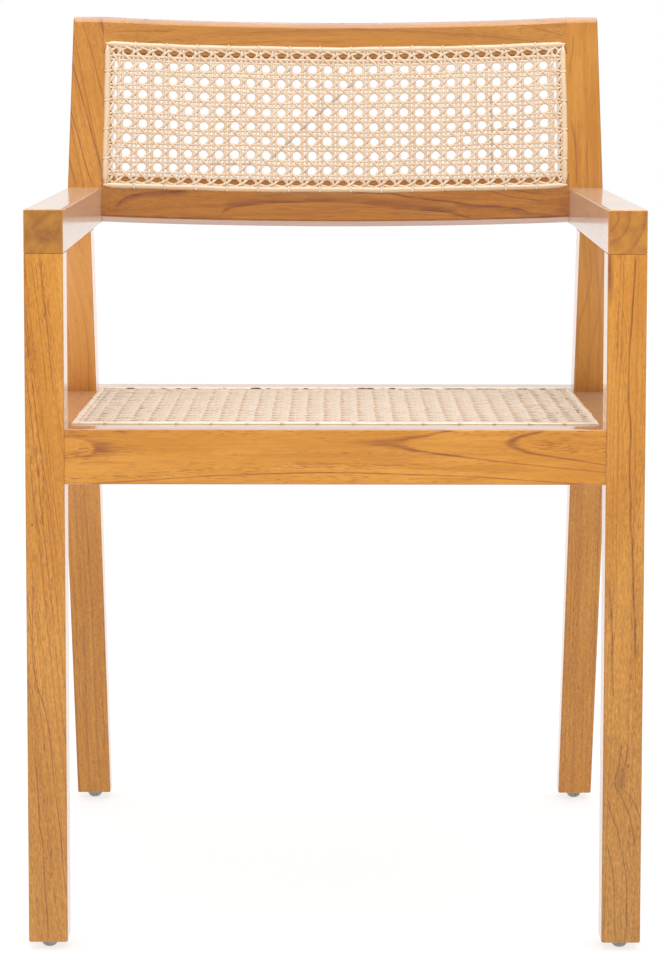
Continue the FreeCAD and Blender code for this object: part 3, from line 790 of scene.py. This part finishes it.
# ---------------------------------------------------------------------- cane
def cane(name, pale, warm, brown, gloss, speckle=0.24, rim=0.08, run=3.2):
    """Split rattan peel. strand holds (mm along, -1 to 1 across, a number for
    each strand); mark is 1 on its dark stretches: dark peel, and painted shadow
    beside the seat's binders and at the ties' ends. speckle is how strong its
    brown flecks are, run how long they are, rim how brown its edges are."""
    g = Graph(name)
    along, across, ident = g.parts(g.attribute("strand"))
    mark = g.attribute("mark", "Fac")
    lane = g.math("MULTIPLY", ident, 37.0)
    tone = g.white(lane)
    drift = g.noise(g.xyz(g.math("DIVIDE", along, 42.0), lane, 0.0), detail=2)
    fibre = g.noise(
        g.xyz(g.math("DIVIDE", along, 9.0), g.math("MULTIPLY", across, 4.5), lane),
        detail=3, rough=0.65,
    )
    fleck = g.step(
        g.noise(
            g.xyz(g.math("DIVIDE", along, run), g.math("MULTIPLY", across, 2.4), lane),
            detail=2,
        ),
        0.62, 0.74,
    )
    joint = g.step(
        g.noise(g.xyz(g.math("DIVIDE", along, 2.6), lane, 5.0), detail=0), 0.74, 0.80
    )
    warmth = g.math("MULTIPLY_ADD", drift, 0.9, g.math("MULTIPLY", tone, 0.65))
    colour = g.mix(g.step(warmth, 0.40, 1.05), pale, warm)
    colour = g.mix(g.math("MULTIPLY", g.step(fibre, 0.45, 0.8), 0.34), colour, brown)
    colour = g.mix(g.math("MULTIPLY", fleck, speckle), colour, brown)
    colour = g.mix(g.math("MULTIPLY", joint, speckle + 0.06), colour, brown)
    border = g.step(g.math("ABSOLUTE", across), 0.72, 1.0)
    colour = g.mix(g.math("MULTIPLY", border, rim), colour, brown)
    # dark stretches: dark peel on the back, painted shadow on the seat's strands and the ties' ends
    shade_and_stain = g.math("MULTIPLY", mark, g.span(fibre, 0.3, 0.7, 0.55, 1.0))
    colour = g.mix(shade_and_stain, colour, (0.20, 0.115, 0.065))
    height = g.math("MULTIPLY_ADD", fibre, 1.0, g.math("MULTIPLY", fleck, -0.5))
    g.set(
        Base_Color=colour,
        Roughness=g.span(fibre, 0.25, 0.75, gloss, gloss + 0.22),
        Specular_IOR_Level=0.5,
        Coat_Weight=0.22,
        Coat_Roughness=0.22,
        Normal=g.bump(height, 0.35, 0.0004),
    )
    return g.mat


STRAW, WARM_STRAW, BROWN_STRAW = (0.80, 0.612, 0.435), (0.72, 0.505, 0.315), (0.50, 0.32, 0.175)
strand_mat = cane("cane_strand", STRAW, WARM_STRAW, BROWN_STRAW, 0.34)
# painted light and shade: the seat's cane is painted darker than the back's, against the light from above,
# and its long strands, lit along their tops, darker than its cross strands, shaded on their sides
seat_long_painted_shade_mat = cane(
    "cane_seat_long_painted_shade", (0.58, 0.455, 0.335), (0.53, 0.395, 0.277), (0.36, 0.235, 0.14), 0.42,
    0.55, 0.10, 12.0,
)
seat_cross_painted_light_mat = cane(
    "cane_seat_cross_painted_light", (0.735, 0.597, 0.458), (0.695, 0.545, 0.398), (0.36, 0.235, 0.14), 0.42,
    0.45, 0.05, 5.0,
)
back_binder_mat = cane(
    "cane_back_binder", (0.84, 0.63, 0.425), (0.79, 0.56, 0.35), BROWN_STRAW, 0.30, 0.20, 0.06
)
seat_binder_mat = cane(
    "cane_seat_binder", (0.80, 0.66, 0.50), (0.76, 0.60, 0.43), BROWN_STRAW, 0.36, 0.22, 0.10
)
tie_mat = cane("cane_tie", (0.80, 0.64, 0.45), (0.70, 0.54, 0.36), (0.44, 0.31, 0.18), 0.40)


class BackFace:
    """Places on the bowed face of the back: x, s up the face, h in front of it."""

    @staticmethod
    def at(x, s, h):
        turn = np.arcsin(np.clip(x / BOW_R, -1, 1))
        t = BOW_C + (BOW_R - h) * np.cos(turn)
        return np.stack(
            [
                (BOW_R - h) * np.sin(turn),
                BACK_Y + s * SIN + t * COS + SHIFT,
                BACK_ZERO_Z + s * COS - t * SIN + LIFT,
            ],
            1,
        )

    @staticmethod
    def out(x, s):
        turn = np.arcsin(np.clip(x / BOW_R, -1, 1))
        return np.stack([-np.sin(turn), -np.cos(turn) * COS, np.cos(turn) * SIN], 1)


class SeatFace:
    """Places on the sloping plane of the seat: x, y backwards, h above it."""

    @staticmethod
    def at(x, y, h):
        return np.stack([x, y + SHIFT + h * SEAT_DROP, SEAT_Z + LIFT - SEAT_DROP * y + h], 1)

    @staticmethod
    def out(x, y):
        n = Vector((0, SEAT_DROP, 1)).normalized()
        return np.tile(np.array(n), (len(x), 1))


def ease(v):
    v = np.clip(v, 0, 1)
    return v * v * (3 - 2 * v)


# outline of a split strand: flat under, crowned on top, as (across, height)
STRAND = np.array(
    [(-1, 0.30), (-0.82, 0.0), (0.82, 0.0), (1, 0.30), (0.62, 0.82), (0, 1.0), (-0.62, 0.82)]
)


# outline of a binder strip: lies flat, with round shoulders
STRIP = np.array(
    [(-1, 0.10), (-0.98, 0.0), (0.98, 0.0), (1, 0.10), (0.58, 0.76), (0, 1.0), (-0.58, 0.76)]
)


def strand_rings(surface, a, b, h, width, thick, ident, mark=None, outline=STRAND):
    """One strand along (a, b) with its underside h off the surface."""
    h = np.broadcast_to(h, a.shape).astype(float)
    p = surface.at(a, b, h)
    tangent = np.gradient(p, axis=0)
    tangent /= np.linalg.norm(tangent, axis=1)[:, None]
    out = surface.out(a, b)
    out = out - tangent * (out * tangent).sum(1)[:, None]
    out /= np.linalg.norm(out, axis=1)[:, None]
    side = np.cross(tangent, out)
    width = np.broadcast_to(width, a.shape)
    thick = np.broadcast_to(thick, a.shape)
    verts = (
        p[:, None, :]
        + side[:, None, :] * (outline[None, :, :1] * width[:, None, None] / 2)
        + out[:, None, :] * (outline[None, :, 1:] * thick[:, None, None])
    )
    step = np.linalg.norm(np.diff(p, axis=0), axis=1)
    along = np.concatenate([[0], np.cumsum(step)])
    return {
        "verts": verts / 1000,
        "along": along,
        "ident": ident,
        "mark": np.zeros(len(a)) if mark is None else mark,
    }


def build(name, strands, material, stands_for):
    """One mesh of many closed strands, with a map that lays them side by side."""
    m = len(STRAND)
    longest = max(s["along"][-1] for s in strands)
    co, quads, quad_uv, caps, cap_uv, info, marks = [], [], [], [], [], [], []
    base = 0
    for i, s in enumerate(strands):
        n = len(s["along"])
        co.append(s["verts"].reshape(-1, 3))
        info.append(
            np.stack(
                [
                    np.repeat(s["along"], m),
                    np.tile(STRAND[:, 0], n),
                    np.full(n * m, s["ident"]),
                ],
                1,
            )
        )
        marks.append(np.repeat(s["mark"], m))
        r, j = np.meshgrid(np.arange(n - 1), np.arange(m), indexing="ij")
        j2 = (j + 1) % m
        q = np.stack([r * m + j, (r + 1) * m + j, (r + 1) * m + j2, r * m + j2], -1)
        quads.append(q.reshape(-1, 4) + base)
        u = 0.004 + 0.990 * s["along"] / longest
        lane = (i + 0.04 + 0.92 * np.arange(m + 1) / m) / len(strands)
        uv = np.stack(
            [
                np.stack([u[r], lane[j]], -1),
                np.stack([u[r + 1], lane[j]], -1),
                np.stack([u[r + 1], lane[j + 1]], -1),
                np.stack([u[r], lane[j + 1]], -1),
            ],
            -2,
        )
        quad_uv.append(uv.reshape(-1, 2))
        for ring, turn, shift in ((0, 1, -0.003), (n - 1, -1, 0.003)):
            caps.append((np.arange(m)[::turn] + ring * m + base))
            ends = np.stack(
                [np.where(np.arange(m) % 2, u[ring], u[ring] + shift), lane[:m]], 1
            )
            cap_uv.append(ends[::turn])
        base += n * m
    co = np.concatenate(co)
    quads = np.concatenate(quads)
    caps = np.array(caps)
    loops = np.concatenate([quads.ravel(), caps.ravel()])
    sizes = np.concatenate([np.full(len(quads), 4), np.full(len(caps), m)])
    starts = np.concatenate([[0], np.cumsum(sizes)[:-1]])
    me = bpy.data.meshes.new(name)
    me.vertices.add(len(co))
    me.vertices.foreach_set("co", co.astype(np.float32).ravel())
    me.loops.add(len(loops))
    me.loops.foreach_set("vertex_index", loops.astype(np.int32))
    me.polygons.add(len(sizes))
    me.polygons.foreach_set("loop_start", starts.astype(np.int32))
    me.polygons.foreach_set("loop_total", sizes.astype(np.int32))
    me.update(calc_edges=True)
    smooth = np.ones(len(sizes), bool)
    smooth[len(quads):] = False
    me.polygons.foreach_set("use_smooth", smooth)
    layer = me.uv_layers.new(name="OFBake")
    layer.uv.foreach_set(
        "vector",
        np.concatenate([*quad_uv, *cap_uv]).astype(np.float32).ravel(),
    )
    at = me.attributes.new("strand", "FLOAT_VECTOR", "POINT")
    at.data.foreach_set("vector", np.concatenate(info).astype(np.float32).ravel())
    at = me.attributes.new("mark", "FLOAT", "POINT")
    at.data.foreach_set("value", np.concatenate(marks).astype(np.float32))
    me.validate()
    me.materials.append(material)
    ob = bpy.data.objects.new(name, me)
    scene.collection.objects.link(ob)
    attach(ob, "root")
    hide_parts(stands_for)
    return ob


# A six-way weave: pairs up and down, pairs across, and two diagonals. Places
# are counted in holes: u = 0, 1, 2... across and v = 0, 1, 2... down or back.
# Pairs run on the half numbers, diagonals through the middles between holes.
STRAND_W = 2.6
PAIR = 2.25  # half the distance between the two strands of a pair


class Weave:
    """relief is a strand's thickness, the height of the middle layer, and how
    far pairs and diagonals rise and fall; loose is how uneven the weave is."""

    def __init__(self, surface, columns, rows, a_of, b_of, seed, loose, relief, dark=()):
        self.surface, self.na, self.nb = surface, columns, rows
        self.thick, self.middle, self.over, self.diagonal_over = relief
        self.a_of, self.b_of = a_of, b_of
        self.rnd = np.random.default_rng(seed)
        self.dark, self.loose = dark, loose
        r = self.rnd.uniform(0, 6.28, 8)
        self.phase = r

    def drift(self, a, b, u, v):
        """A little unevenness, shared by all strands, fading out at the frame."""
        r = self.phase
        hold = self.loose * ease((np.minimum(u + 1, self.na - u)) / 2.5) * ease(
            np.minimum(v + 1, self.nb - v) / 2.5
        )
        da = 0.42 * np.sin(a / 17.0 + b / 41.0 + r[0]) + 0.34 * np.sin(
            b / 11.0 - a / 63.0 + r[1]
        )
        db = 0.42 * np.sin(b / 15.0 - a / 37.0 + r[2]) + 0.34 * np.sin(
            a / 13.0 + b / 71.0 + r[3]
        )
        return a + da * hold, b + db * hold

    def wave(self, n, reach, size):
        """Slow sideways wander of one strand."""
        t = np.linspace(0, reach, n)
        k = self.rnd.uniform(0.7, 1.3, 3)
        p = self.rnd.uniform(0, 6.28, 3)
        return size * (
            np.sin(t / 29 * k[0] + p[0])
            + 0.7 * np.sin(t / 13 * k[1] + p[1])
            + 0.4 * np.sin(t / 7 * k[2] + p[2])
        )

    def finish(self, a, b, h, kind):
        ident = self.rnd.uniform(0, 10)
        n = len(a)
        width = STRAND_W * (1 + self.rnd.uniform(-0.07, 0.07)) * (
            1 + self.wave(n, n * 2.0, 0.02)
        )
        thick = self.thick * self.rnd.uniform(0.92, 1.08)
        mark = np.zeros(n)
        for spot_kind, a0, b0, a1, b1, near, strength in self.dark:
            if spot_kind != kind:
                continue
            d = np.array([a1 - a0, b1 - b0])
            size = np.hypot(*d)
            t = ((a - a0) * d[0] + (b - b0) * d[1]) / size**2
            off = np.abs((a - a0) * d[1] - (b - b0) * d[0]) / size
            inside = ease((t + 0.06) / 0.1) * ease((1.06 - t) / 0.1)
            if (off[(t > 0) & (t < 1)] < near).mean() > 0.8 if ((t > 0) & (t < 1)).any() else False:
                mark = np.maximum(mark, strength * inside)
        return strand_rings(self.surface, a, b, h, width, thick, ident, mark)

    def settle(self, h, dist):
        """At the frame a strand goes down into its hole, under the binder."""
        return -0.15 + (h + 0.15) * ease(dist / 7.5)

    def uprights(self):
        out = []
        for j in range(self.na - 1):
            for side in (-1, 1):
                u0 = j + 0.5
                reach = abs(self.b_of(self.nb) - self.b_of(-1))
                n = int(reach / 1.9)
                v = np.linspace(-1, self.nb, n)
                b = self.b_of(v)
                end = np.minimum(np.abs(b - b[0]), np.abs(b - b[-1]))
                a = self.a_of(np.full(n, u0))
                spread = PAIR * (0.38 + 0.62 * ease(end / 8.0))
                shift = self.rnd.normal(0, 0.13) + self.wave(n, reach, 0.10) * ease(end / 9)
                if j in (0, self.na - 2):  # the outer pairs sit closer and further in
                    spread = 0.82 * spread
                    shift = shift + (0.9 if j == 0 else -0.9) * ease(end / 9)
                a = a + side * spread + shift
                h = np.zeros(n)
                for k in range(self.nb - 1):
                    d = (b - self.b_of(k + 0.5)) / PAIR
                    d = d * np.sign(self.b_of(1) - self.b_of(0))
                    h += side * -1 * self.over * d * np.exp(0.5 * (1 - d * d))
                h = self.settle(self.middle + h, end)
                a, b = self.drift(a, b, np.full(n, u0), v)
                out.append(self.finish(a, b, h, "up"))
        return out

    def levels(self):
        out = []
        sign = np.sign(self.b_of(1) - self.b_of(0))
        for k in range(self.nb - 1):
            for side in (-1, 1):
                v0 = k + 0.5
                reach = abs(self.a_of(self.na) - self.a_of(-1))
                n = int(reach / 1.9)
                u = np.linspace(-1, self.na, n)
                a = self.a_of(u)
                end = np.minimum(np.abs(a - a[0]), np.abs(a - a[-1]))
                spread = PAIR * (0.38 + 0.62 * ease(end / 8.0))
                shift = self.rnd.normal(0, 0.13) + self.wave(n, reach, 0.10) * ease(end / 9)
                b = self.b_of(np.full(n, v0)) + sign * side * spread + shift
                h = np.zeros(n)
                for j in range(self.na - 1):
                    d = (a - self.a_of(j + 0.5)) / PAIR
                    h += side * self.over * d * np.exp(0.5 * (1 - d * d))
                h = self.settle(self.middle + h, end)
                a, b = self.drift(a, b, u, np.full(n, v0))
                out.append(self.finish(a, b, h, "level"))
        return out

    def diagonals(self, lean):
        """lean 1: u + v is kept; lean -1: u - v is kept."""
        out = []
        na, nb = self.na, self.nb
        for k in range(-nb - 3, na + nb + 3):
            c = k + 0.5
            # along the line u = start + q, v = lean-dependent
            if lean == 1:
                lo, hi = max(-1, c - nb), min(na, c + 1)
            else:
                lo, hi = max(-1, c - 1), min(na, c + nb)
            if hi - lo < 1.4:
                continue
            n = int((hi - lo) * 15.5 * 1.414 / 1.9) + 6
            u = np.linspace(lo, hi, n)
            v = c - u if lean == 1 else u - c
            a, b = self.a_of(u), self.b_of(v)
            for _ in range(3):  # soften the turn where rows tighten at the frame
                a[1:-1] = (a[:-2] + 2 * a[1:-1] + a[2:]) / 4
                b[1:-1] = (b[:-2] + 2 * b[1:-1] + b[2:]) / 4
            end = np.minimum(
                np.hypot(a - a[0], b - b[0]), np.hypot(a - a[-1], b - b[-1])
            )
            across = np.array([b[-1] - b[0], a[0] - a[-1]])
            across /= np.hypot(*across)
            shift = (
                self.rnd.normal(0, 0.16) + self.wave(n, (hi - lo) * 22, 0.14)
            ) * ease(end / 10)
            # over the uprights and under the levels, or the other way round
            h = lean * np.cos(2 * np.pi * (u - 0.5))
            h = self.diagonal_over * np.tanh(1.8 * h) / np.tanh(1.8)
            h = self.settle(self.middle + h, end)
            a, b = a + across[0] * shift, b + across[1] * shift
            a, b = self.drift(a, b, u, v)
            out.append(self.finish(a, b, h, "rise" if lean == 1 else "fall"))
        return out


def spaced(half, columns):
    """Even columns, with the outer ones drawn in towards the side binders."""
    p = half / ((columns - 2) / 2 + 0.78)

    def a_of(u):
        u = np.asarray(u, float)
        mid = (columns - 1) / 2
        low, high = 0.5, columns - 1.5
        inner = (np.clip(u, low, high) - mid) * p
        return inner - 0.52 * p * np.clip(low - u, 0, None) + 0.52 * p * np.clip(
            u - high, 0, None
        )

    return a_of


def rows_of(first, last, rows, near, far):
    """Even rows, with the outer ones drawn in towards the binders."""
    q = (last - first) / (rows - 1 + near + far)

    def b_of(v):
        v = np.asarray(v, float)
        inner = first + q * (near + np.clip(v, 0, rows - 1))
        return inner - q * near * np.clip(-v, 0, None) + q * far * np.clip(
            v - (rows - 1), 0, None
        )

    return b_of


# Dark stretches of peel on the back, as (kind, from x, s, to x, s, reach, how dark)
BACK_DARK = (
    ("rise", -67.6, 30.6, 18.3, 113.6, 5.5, 0.62),
    ("up", 160.0, 10.0, 160.0, 98.0, 2.4, 0.60),
    ("level", -130.0, 21.7, -88.0, 21.7, 1.6, 0.50),
    ("level", 168.0, 58.0, 190.0, 58.0, 2.5, 0.60),
)
# Painted shadow beside the seat's binders: dark slivers, as (from x, y, to x, y, height),
# and dark marks on the strands: under the lip of the rear one, and where strands go down
# beside the side ones
gaps = random.Random(17)
SEAT_SHADOW_MARKS, SEAT_SHADOW_SLIVERS = [], []
for start, stop, high in (
    (-212, -201, 1.7), (-176, -167, 0.9), (-161, -155, 1.3), (-147, -137, 1.7), (-120, -114, 0.9),
    (-87, -73, 1.9), (-70, -64, 1.3), (-44, -36, 1.3), (-33, -26, 1.6), (-5, 3, 0.8), (21, 33, 1.9),
    (30, 41, 1.8), (53, 62, 1.8), (63, 69, 1.0), (80, 100, 1.6), (108, 134, 1.5), (139, 166, 1.3),
    (181, 197, 1.5), (206, 214, 1.6), (221, 230, 1.2),
):
    SEAT_SHADOW_SLIVERS.append((start, 379.4, stop, 379.4 + gaps.uniform(-0.3, 0.3), high))
    # painted shadow on the strands under the lip of the rear binder
    SEAT_SHADOW_MARKS.append(("level", start, 369.8, stop, 369.8, 1.5, 0.5))
SEAT_ROWS = rows_of(SEAT_HOLE_Y0, SEAT_HOLE_Y1, 22, 0.5, 0.5)
# painted shadow: dark dashes between the seat's strands, more and darker beside the side binders
for dash in range(300):
    aside = dash % 5 < 2  # more of them, and darker, beside the side binders
    x = gaps.uniform(165, 226) * gaps.choice((-1, 1, 1)) if aside else gaps.uniform(-220, 220)
    y = float(SEAT_ROWS(gaps.randrange(21) + 0.5))
    reach, strength = gaps.uniform(3, 9), gaps.uniform(0.45, 0.95) if aside else gaps.uniform(0.20, 0.50)
    SEAT_SHADOW_MARKS.append(("level", x, y, x + reach, y, gaps.choice((2.6, 4.0)), strength))
for row in range(44):
    for side in (-1, 1):
        y = float(SEAT_ROWS(row / 2 - 0.25 + gaps.uniform(-0.15, 0.15)))
        tip = 231.6 - gaps.uniform(2.0, 6.0) * gaps.choice((1.0, 1.0, 2.2))
        if 52 < y < 376 and gaps.random() < (0.45 if side < 0 else 0.68):
            SEAT_SHADOW_SLIVERS.append(
                (side * 231.7, y, side * tip, y + gaps.uniform(-3, 3), gaps.uniform(0.25, 0.85))
            )
back_weave = Weave(
    BackFace, 30, 10, spaced(BACK_HOLE_X, 30),
    rows_of(BACK_HOLE_HIGH, BACK_HOLE_LOW, 10, 0.406, 0.31), 5, 1.0,
    (0.46, 0.48, 0.24, 0.42), BACK_DARK,
)
seat_weave = Weave(
    SeatFace, 30, 22, spaced(SEAT_HOLE_X, 30), SEAT_ROWS, 9, 0.5,
    (0.62, 0.42, 0.16, 0.26), SEAT_SHADOW_MARKS,
)
for name, weave, long_mat, cross_mat in (
    ("back", back_weave, strand_mat, strand_mat),
    ("seat", seat_weave, seat_long_painted_shade_mat, seat_cross_painted_light_mat),
):
    node = f"{name}_cane_panel"
    build(f"{name}_cane_uprights", weave.uprights(), long_mat, node)
    build(f"{name}_cane_levels", weave.levels(), cross_mat, node)
    build(f"{name}_cane_diagonals_a", weave.diagonals(1), cross_mat, node)
    build(f"{name}_cane_diagonals_b", weave.diagonals(-1), cross_mat, node)


# -------------------------------------------------------------------- binders
BINDER_W, BINDER_T, BINDER_H = 6.1, 1.8, 0.0


def binder(weave, seed, shade_and_stain, ends=()):
    """Four wide strips that hide the holes, and the loops that tie them down.
    shade_and_stain is how dark the loops' ends are, painted shade where they go down into
    the holes; ends are dark slivers beside the strips, painted shadow, as (from a, b, to a, b, height)."""
    rnd = np.random.default_rng(seed)
    na, nb = weave.na, weave.nb
    a0, a1 = float(weave.a_of(-1)), float(weave.a_of(na))
    b0, b1 = float(weave.b_of(-1)), float(weave.b_of(nb))
    strips, ties, shadow_slivers = [], [], []
    runs = []
    for b in (b0, b1):
        knots = [float(weave.a_of(j + 0.5)) for j in range(1, na - 1, 2)]
        runs.append(("a", a0 - 2.4, a1 + 2.4, b, knots))
    for a in (a0, a1):
        low, high = sorted((b0, b1))
        knots = [float(weave.b_of(k + 0.5)) for k in range(1, nb - 1, 2)]
        runs.append(("b", low + 1.0, high - 1.0, a, knots))
    for kind, start, stop, fixed, knots in runs:
        n = int((stop - start) / 1.6)
        t = np.linspace(start, stop, n)
        pinch = np.zeros(n)
        for k in knots:
            pinch = np.maximum(pinch, np.exp(-(((t - k) / 2.0) ** 2)))
        gap = np.minimum(t - start, stop - t)
        taper = 0.42 + 0.58 * ease(gap / 9.0)
        p = rnd.uniform(0, 6.28, 3)
        sway = 0.28 * np.sin(t / 23 + p[0]) + 0.16 * np.sin(t / 8.5 + p[1])
        width = BINDER_W * taper * (1 - 0.15 * pinch) * (1 + 0.03 * np.sin(t / 15 + p[2]))
        thick = BINDER_T * (0.55 + 0.45 * ease(gap / 7.0)) * (1 - 0.16 * pinch)
        # over its painted shadow slivers the rear strip stands off the frame
        up = 0.9 if ends and fixed == b1 else 0.0
        h = BINDER_H + up * ease(gap / 12.0) - 0.1 * (1 - ease(gap / 6.0))
        where = (t, fixed + sway) if kind == "a" else (fixed + sway, t)
        strips.append(
            strand_rings(
                weave.surface, *where, h, width, thick, rnd.uniform(0, 10), outline=STRIP
            )
        )
        for k in knots:
            reach = 3.15
            w = np.linspace(-1, 1, 17)
            off = reach * np.sin(w * math.pi / 2 * 0.98)
            lift = (BINDER_H + up + BINDER_T * 0.84) * np.sqrt(
                np.clip(1 - np.abs(w) ** 3.0, 0, None)
            ) - 0.22
            centre = fixed + np.interp(k, t, sway)
            slant = rnd.uniform(-0.35, 0.35)
            line = k + rnd.normal(0, 0.25) + slant * w
            where = (line, centre + off) if kind == "a" else (centre + off, line)
            ties.append(
                strand_rings(
                    weave.surface, *where, lift, rnd.uniform(2.3, 3.0), 0.42,
                    rnd.uniform(0, 10), shade_and_stain * ease((np.abs(w) - 0.55) / 0.3),
                )
            )
    for a_from, b_from, a_to, b_to, high in ends:
        n = max(9, int(math.hypot(a_to - a_from, b_to - b_from) / 1.2))
        k = np.linspace(0, 1, n)
        swell = np.clip(4 * np.minimum(k, 1 - k), 0, 1) ** 0.6
        line = b_from + (b_to - b_from) * k + 0.2 * np.sin(7 * k + a_from)
        shadow_slivers.append(
            strand_rings(
                weave.surface, a_from + (a_to - a_from) * k, line, 0.05, 0.4 + 0.6 * swell,
                0.3 + 1.05 * high * swell, rnd.uniform(0, 10),
            )
        )
    return strips, ties, shadow_slivers


def painted_shadow_peel():
    """Dark slivers put beside a binder as painted shadow."""
    g = Graph("cane_painted_shadow")
    along, across, ident = g.parts(g.attribute("strand"))
    grain = g.noise(
        g.xyz(g.math("DIVIDE", along, 4.0), g.math("MULTIPLY", across, 3.0), ident), detail=3
    )
    g.set(
        Base_Color=g.mix(g.step(grain, 0.35, 0.68), (0.120, 0.072, 0.032), (0.260, 0.168, 0.088)),
        Roughness=g.span(grain, 0.3, 0.7, 0.8, 0.95),
        Specular_IOR_Level=0.05,
        Normal=g.bump(grain, 0.4, 0.0004),
    )
    return g.mat


for name, weave, seed, strip_mat, shade_and_stain, ends in (
    ("back", back_weave, 21, back_binder_mat, 0.45, ()),
    ("seat", seat_weave, 22, seat_binder_mat, 0.12, SEAT_SHADOW_SLIVERS),
):
    strips, ties, shadow_slivers = binder(weave, seed, shade_and_stain, ends)
    node = f"{name}_binder"
    build(f"{name}_binder_strips", strips, strip_mat, node)
    build(f"{name}_binder_ties", ties, tie_mat, node)
    if shadow_slivers:
        build(f"{name}_binder_painted_shadow", shadow_slivers, painted_shadow_peel(), node)


# ------------------------------------------------------------ floor and light
def floor_paint():
    g = Graph("studio_floor")
    place = g.add("ShaderNodeTexCoord").outputs["Object"]
    soft = g.noise(place, scale=3.0, detail=3)
    g.set(
        Base_Color=g.mix(soft, (0.34, 0.34, 0.34), (0.32, 0.32, 0.32)),
        Roughness=g.span(soft, 0.3, 0.7, 0.75, 0.9),
        Specular_IOR_Level=0.0,
        Emission_Color=(1.0, 1.0, 1.0),
        Emission_Strength=0.72,
    )
    return g.mat


me = bpy.data.meshes.new("studio_floor")
me.from_pydata([(-9, -9, 0), (9, -9, 0), (9, 9, 0), (-9, 9, 0)], [], [(0, 1, 2, 3)])
me.materials.append(floor_paint())
floor = bpy.data.objects.new("studio_floor", me)
scene.collection.objects.link(floor)
floor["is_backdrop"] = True

world = bpy.data.worlds.new("studio")
scene.world = world
world.use_nodes = True
sky = world.node_tree.nodes["Background"]
sky.inputs["Color"].default_value = (1, 1, 1, 1)
sky.inputs["Strength"].default_value = 1.0


def soft_light(name, at, to, size, power):
    data = bpy.data.lights.new(name, "AREA")
    data.shape, data.size, data.energy = "SQUARE", size, power
    ob = bpy.data.objects.new(name, data)
    scene.collection.objects.link(ob)
    ob.location = at
    ob.rotation_mode = "QUATERNION"
    ob.rotation_quaternion = (Vector(to) - Vector(at)).to_track_quat("-Z", "Y")
    return ob


soft_light("top", (0.3, -0.6, 4.2), (0, 0, 0), 3.5, 45)
# a panel overhead that only shows as a shine on rounded edges
sheen = soft_light("sheen", (0.1, 0.1, 3.3), (0.1, 0.1, 0), 5.0, 330)
sheen.visible_diffuse = False

scene.view_settings.view_transform = "Standard"
scene.view_settings.look = "None"

# --------------------------------------------------------------------- camera
DISTANCE, HEIGHT, CENTRE_X = 2678.5, 840.26, -1.95
PITCH, YAW, ROLL = 0.0950, -0.0004, 0.0013
FOCAL_PX, AXIS_ROW = 3051.74, 300.0

right = Vector((math.cos(YAW), -math.sin(YAW), 0))
level = Vector((math.sin(YAW), math.cos(YAW), 0))
ahead = level * math.cos(PITCH) - Vector((0, 0, 1)) * math.sin(PITCH)
up = level * math.sin(PITCH) + Vector((0, 0, 1)) * math.cos(PITCH)
right, up = (
    right * math.cos(ROLL) + up * math.sin(ROLL),
    up * math.cos(ROLL) - right * math.sin(ROLL),
)
lens = bpy.data.cameras.new("camera")
lens.sensor_fit = "AUTO"
lens.sensor_width = 36.0
lens.lens = FOCAL_PX / 960 * 36
lens.shift_y = (AXIS_ROW - 480) / 960
lens.clip_start, lens.clip_end = 0.05, 60
camera = bpy.data.objects.new("camera", lens)
scene.collection.objects.link(camera)
camera.matrix_world = Matrix.Translation(
    (CENTRE_X / 1000, (SHIFT - DISTANCE) / 1000, (HEIGHT + LIFT) / 1000)
) @ Matrix(
    (
        (right.x, up.x, -ahead.x, 0),
        (right.y, up.y, -ahead.y, 0),
        (right.z, up.z, -ahead.z, 0),
        (0, 0, 0, 1),
    )
)
scene.camera = camera

low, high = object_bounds()
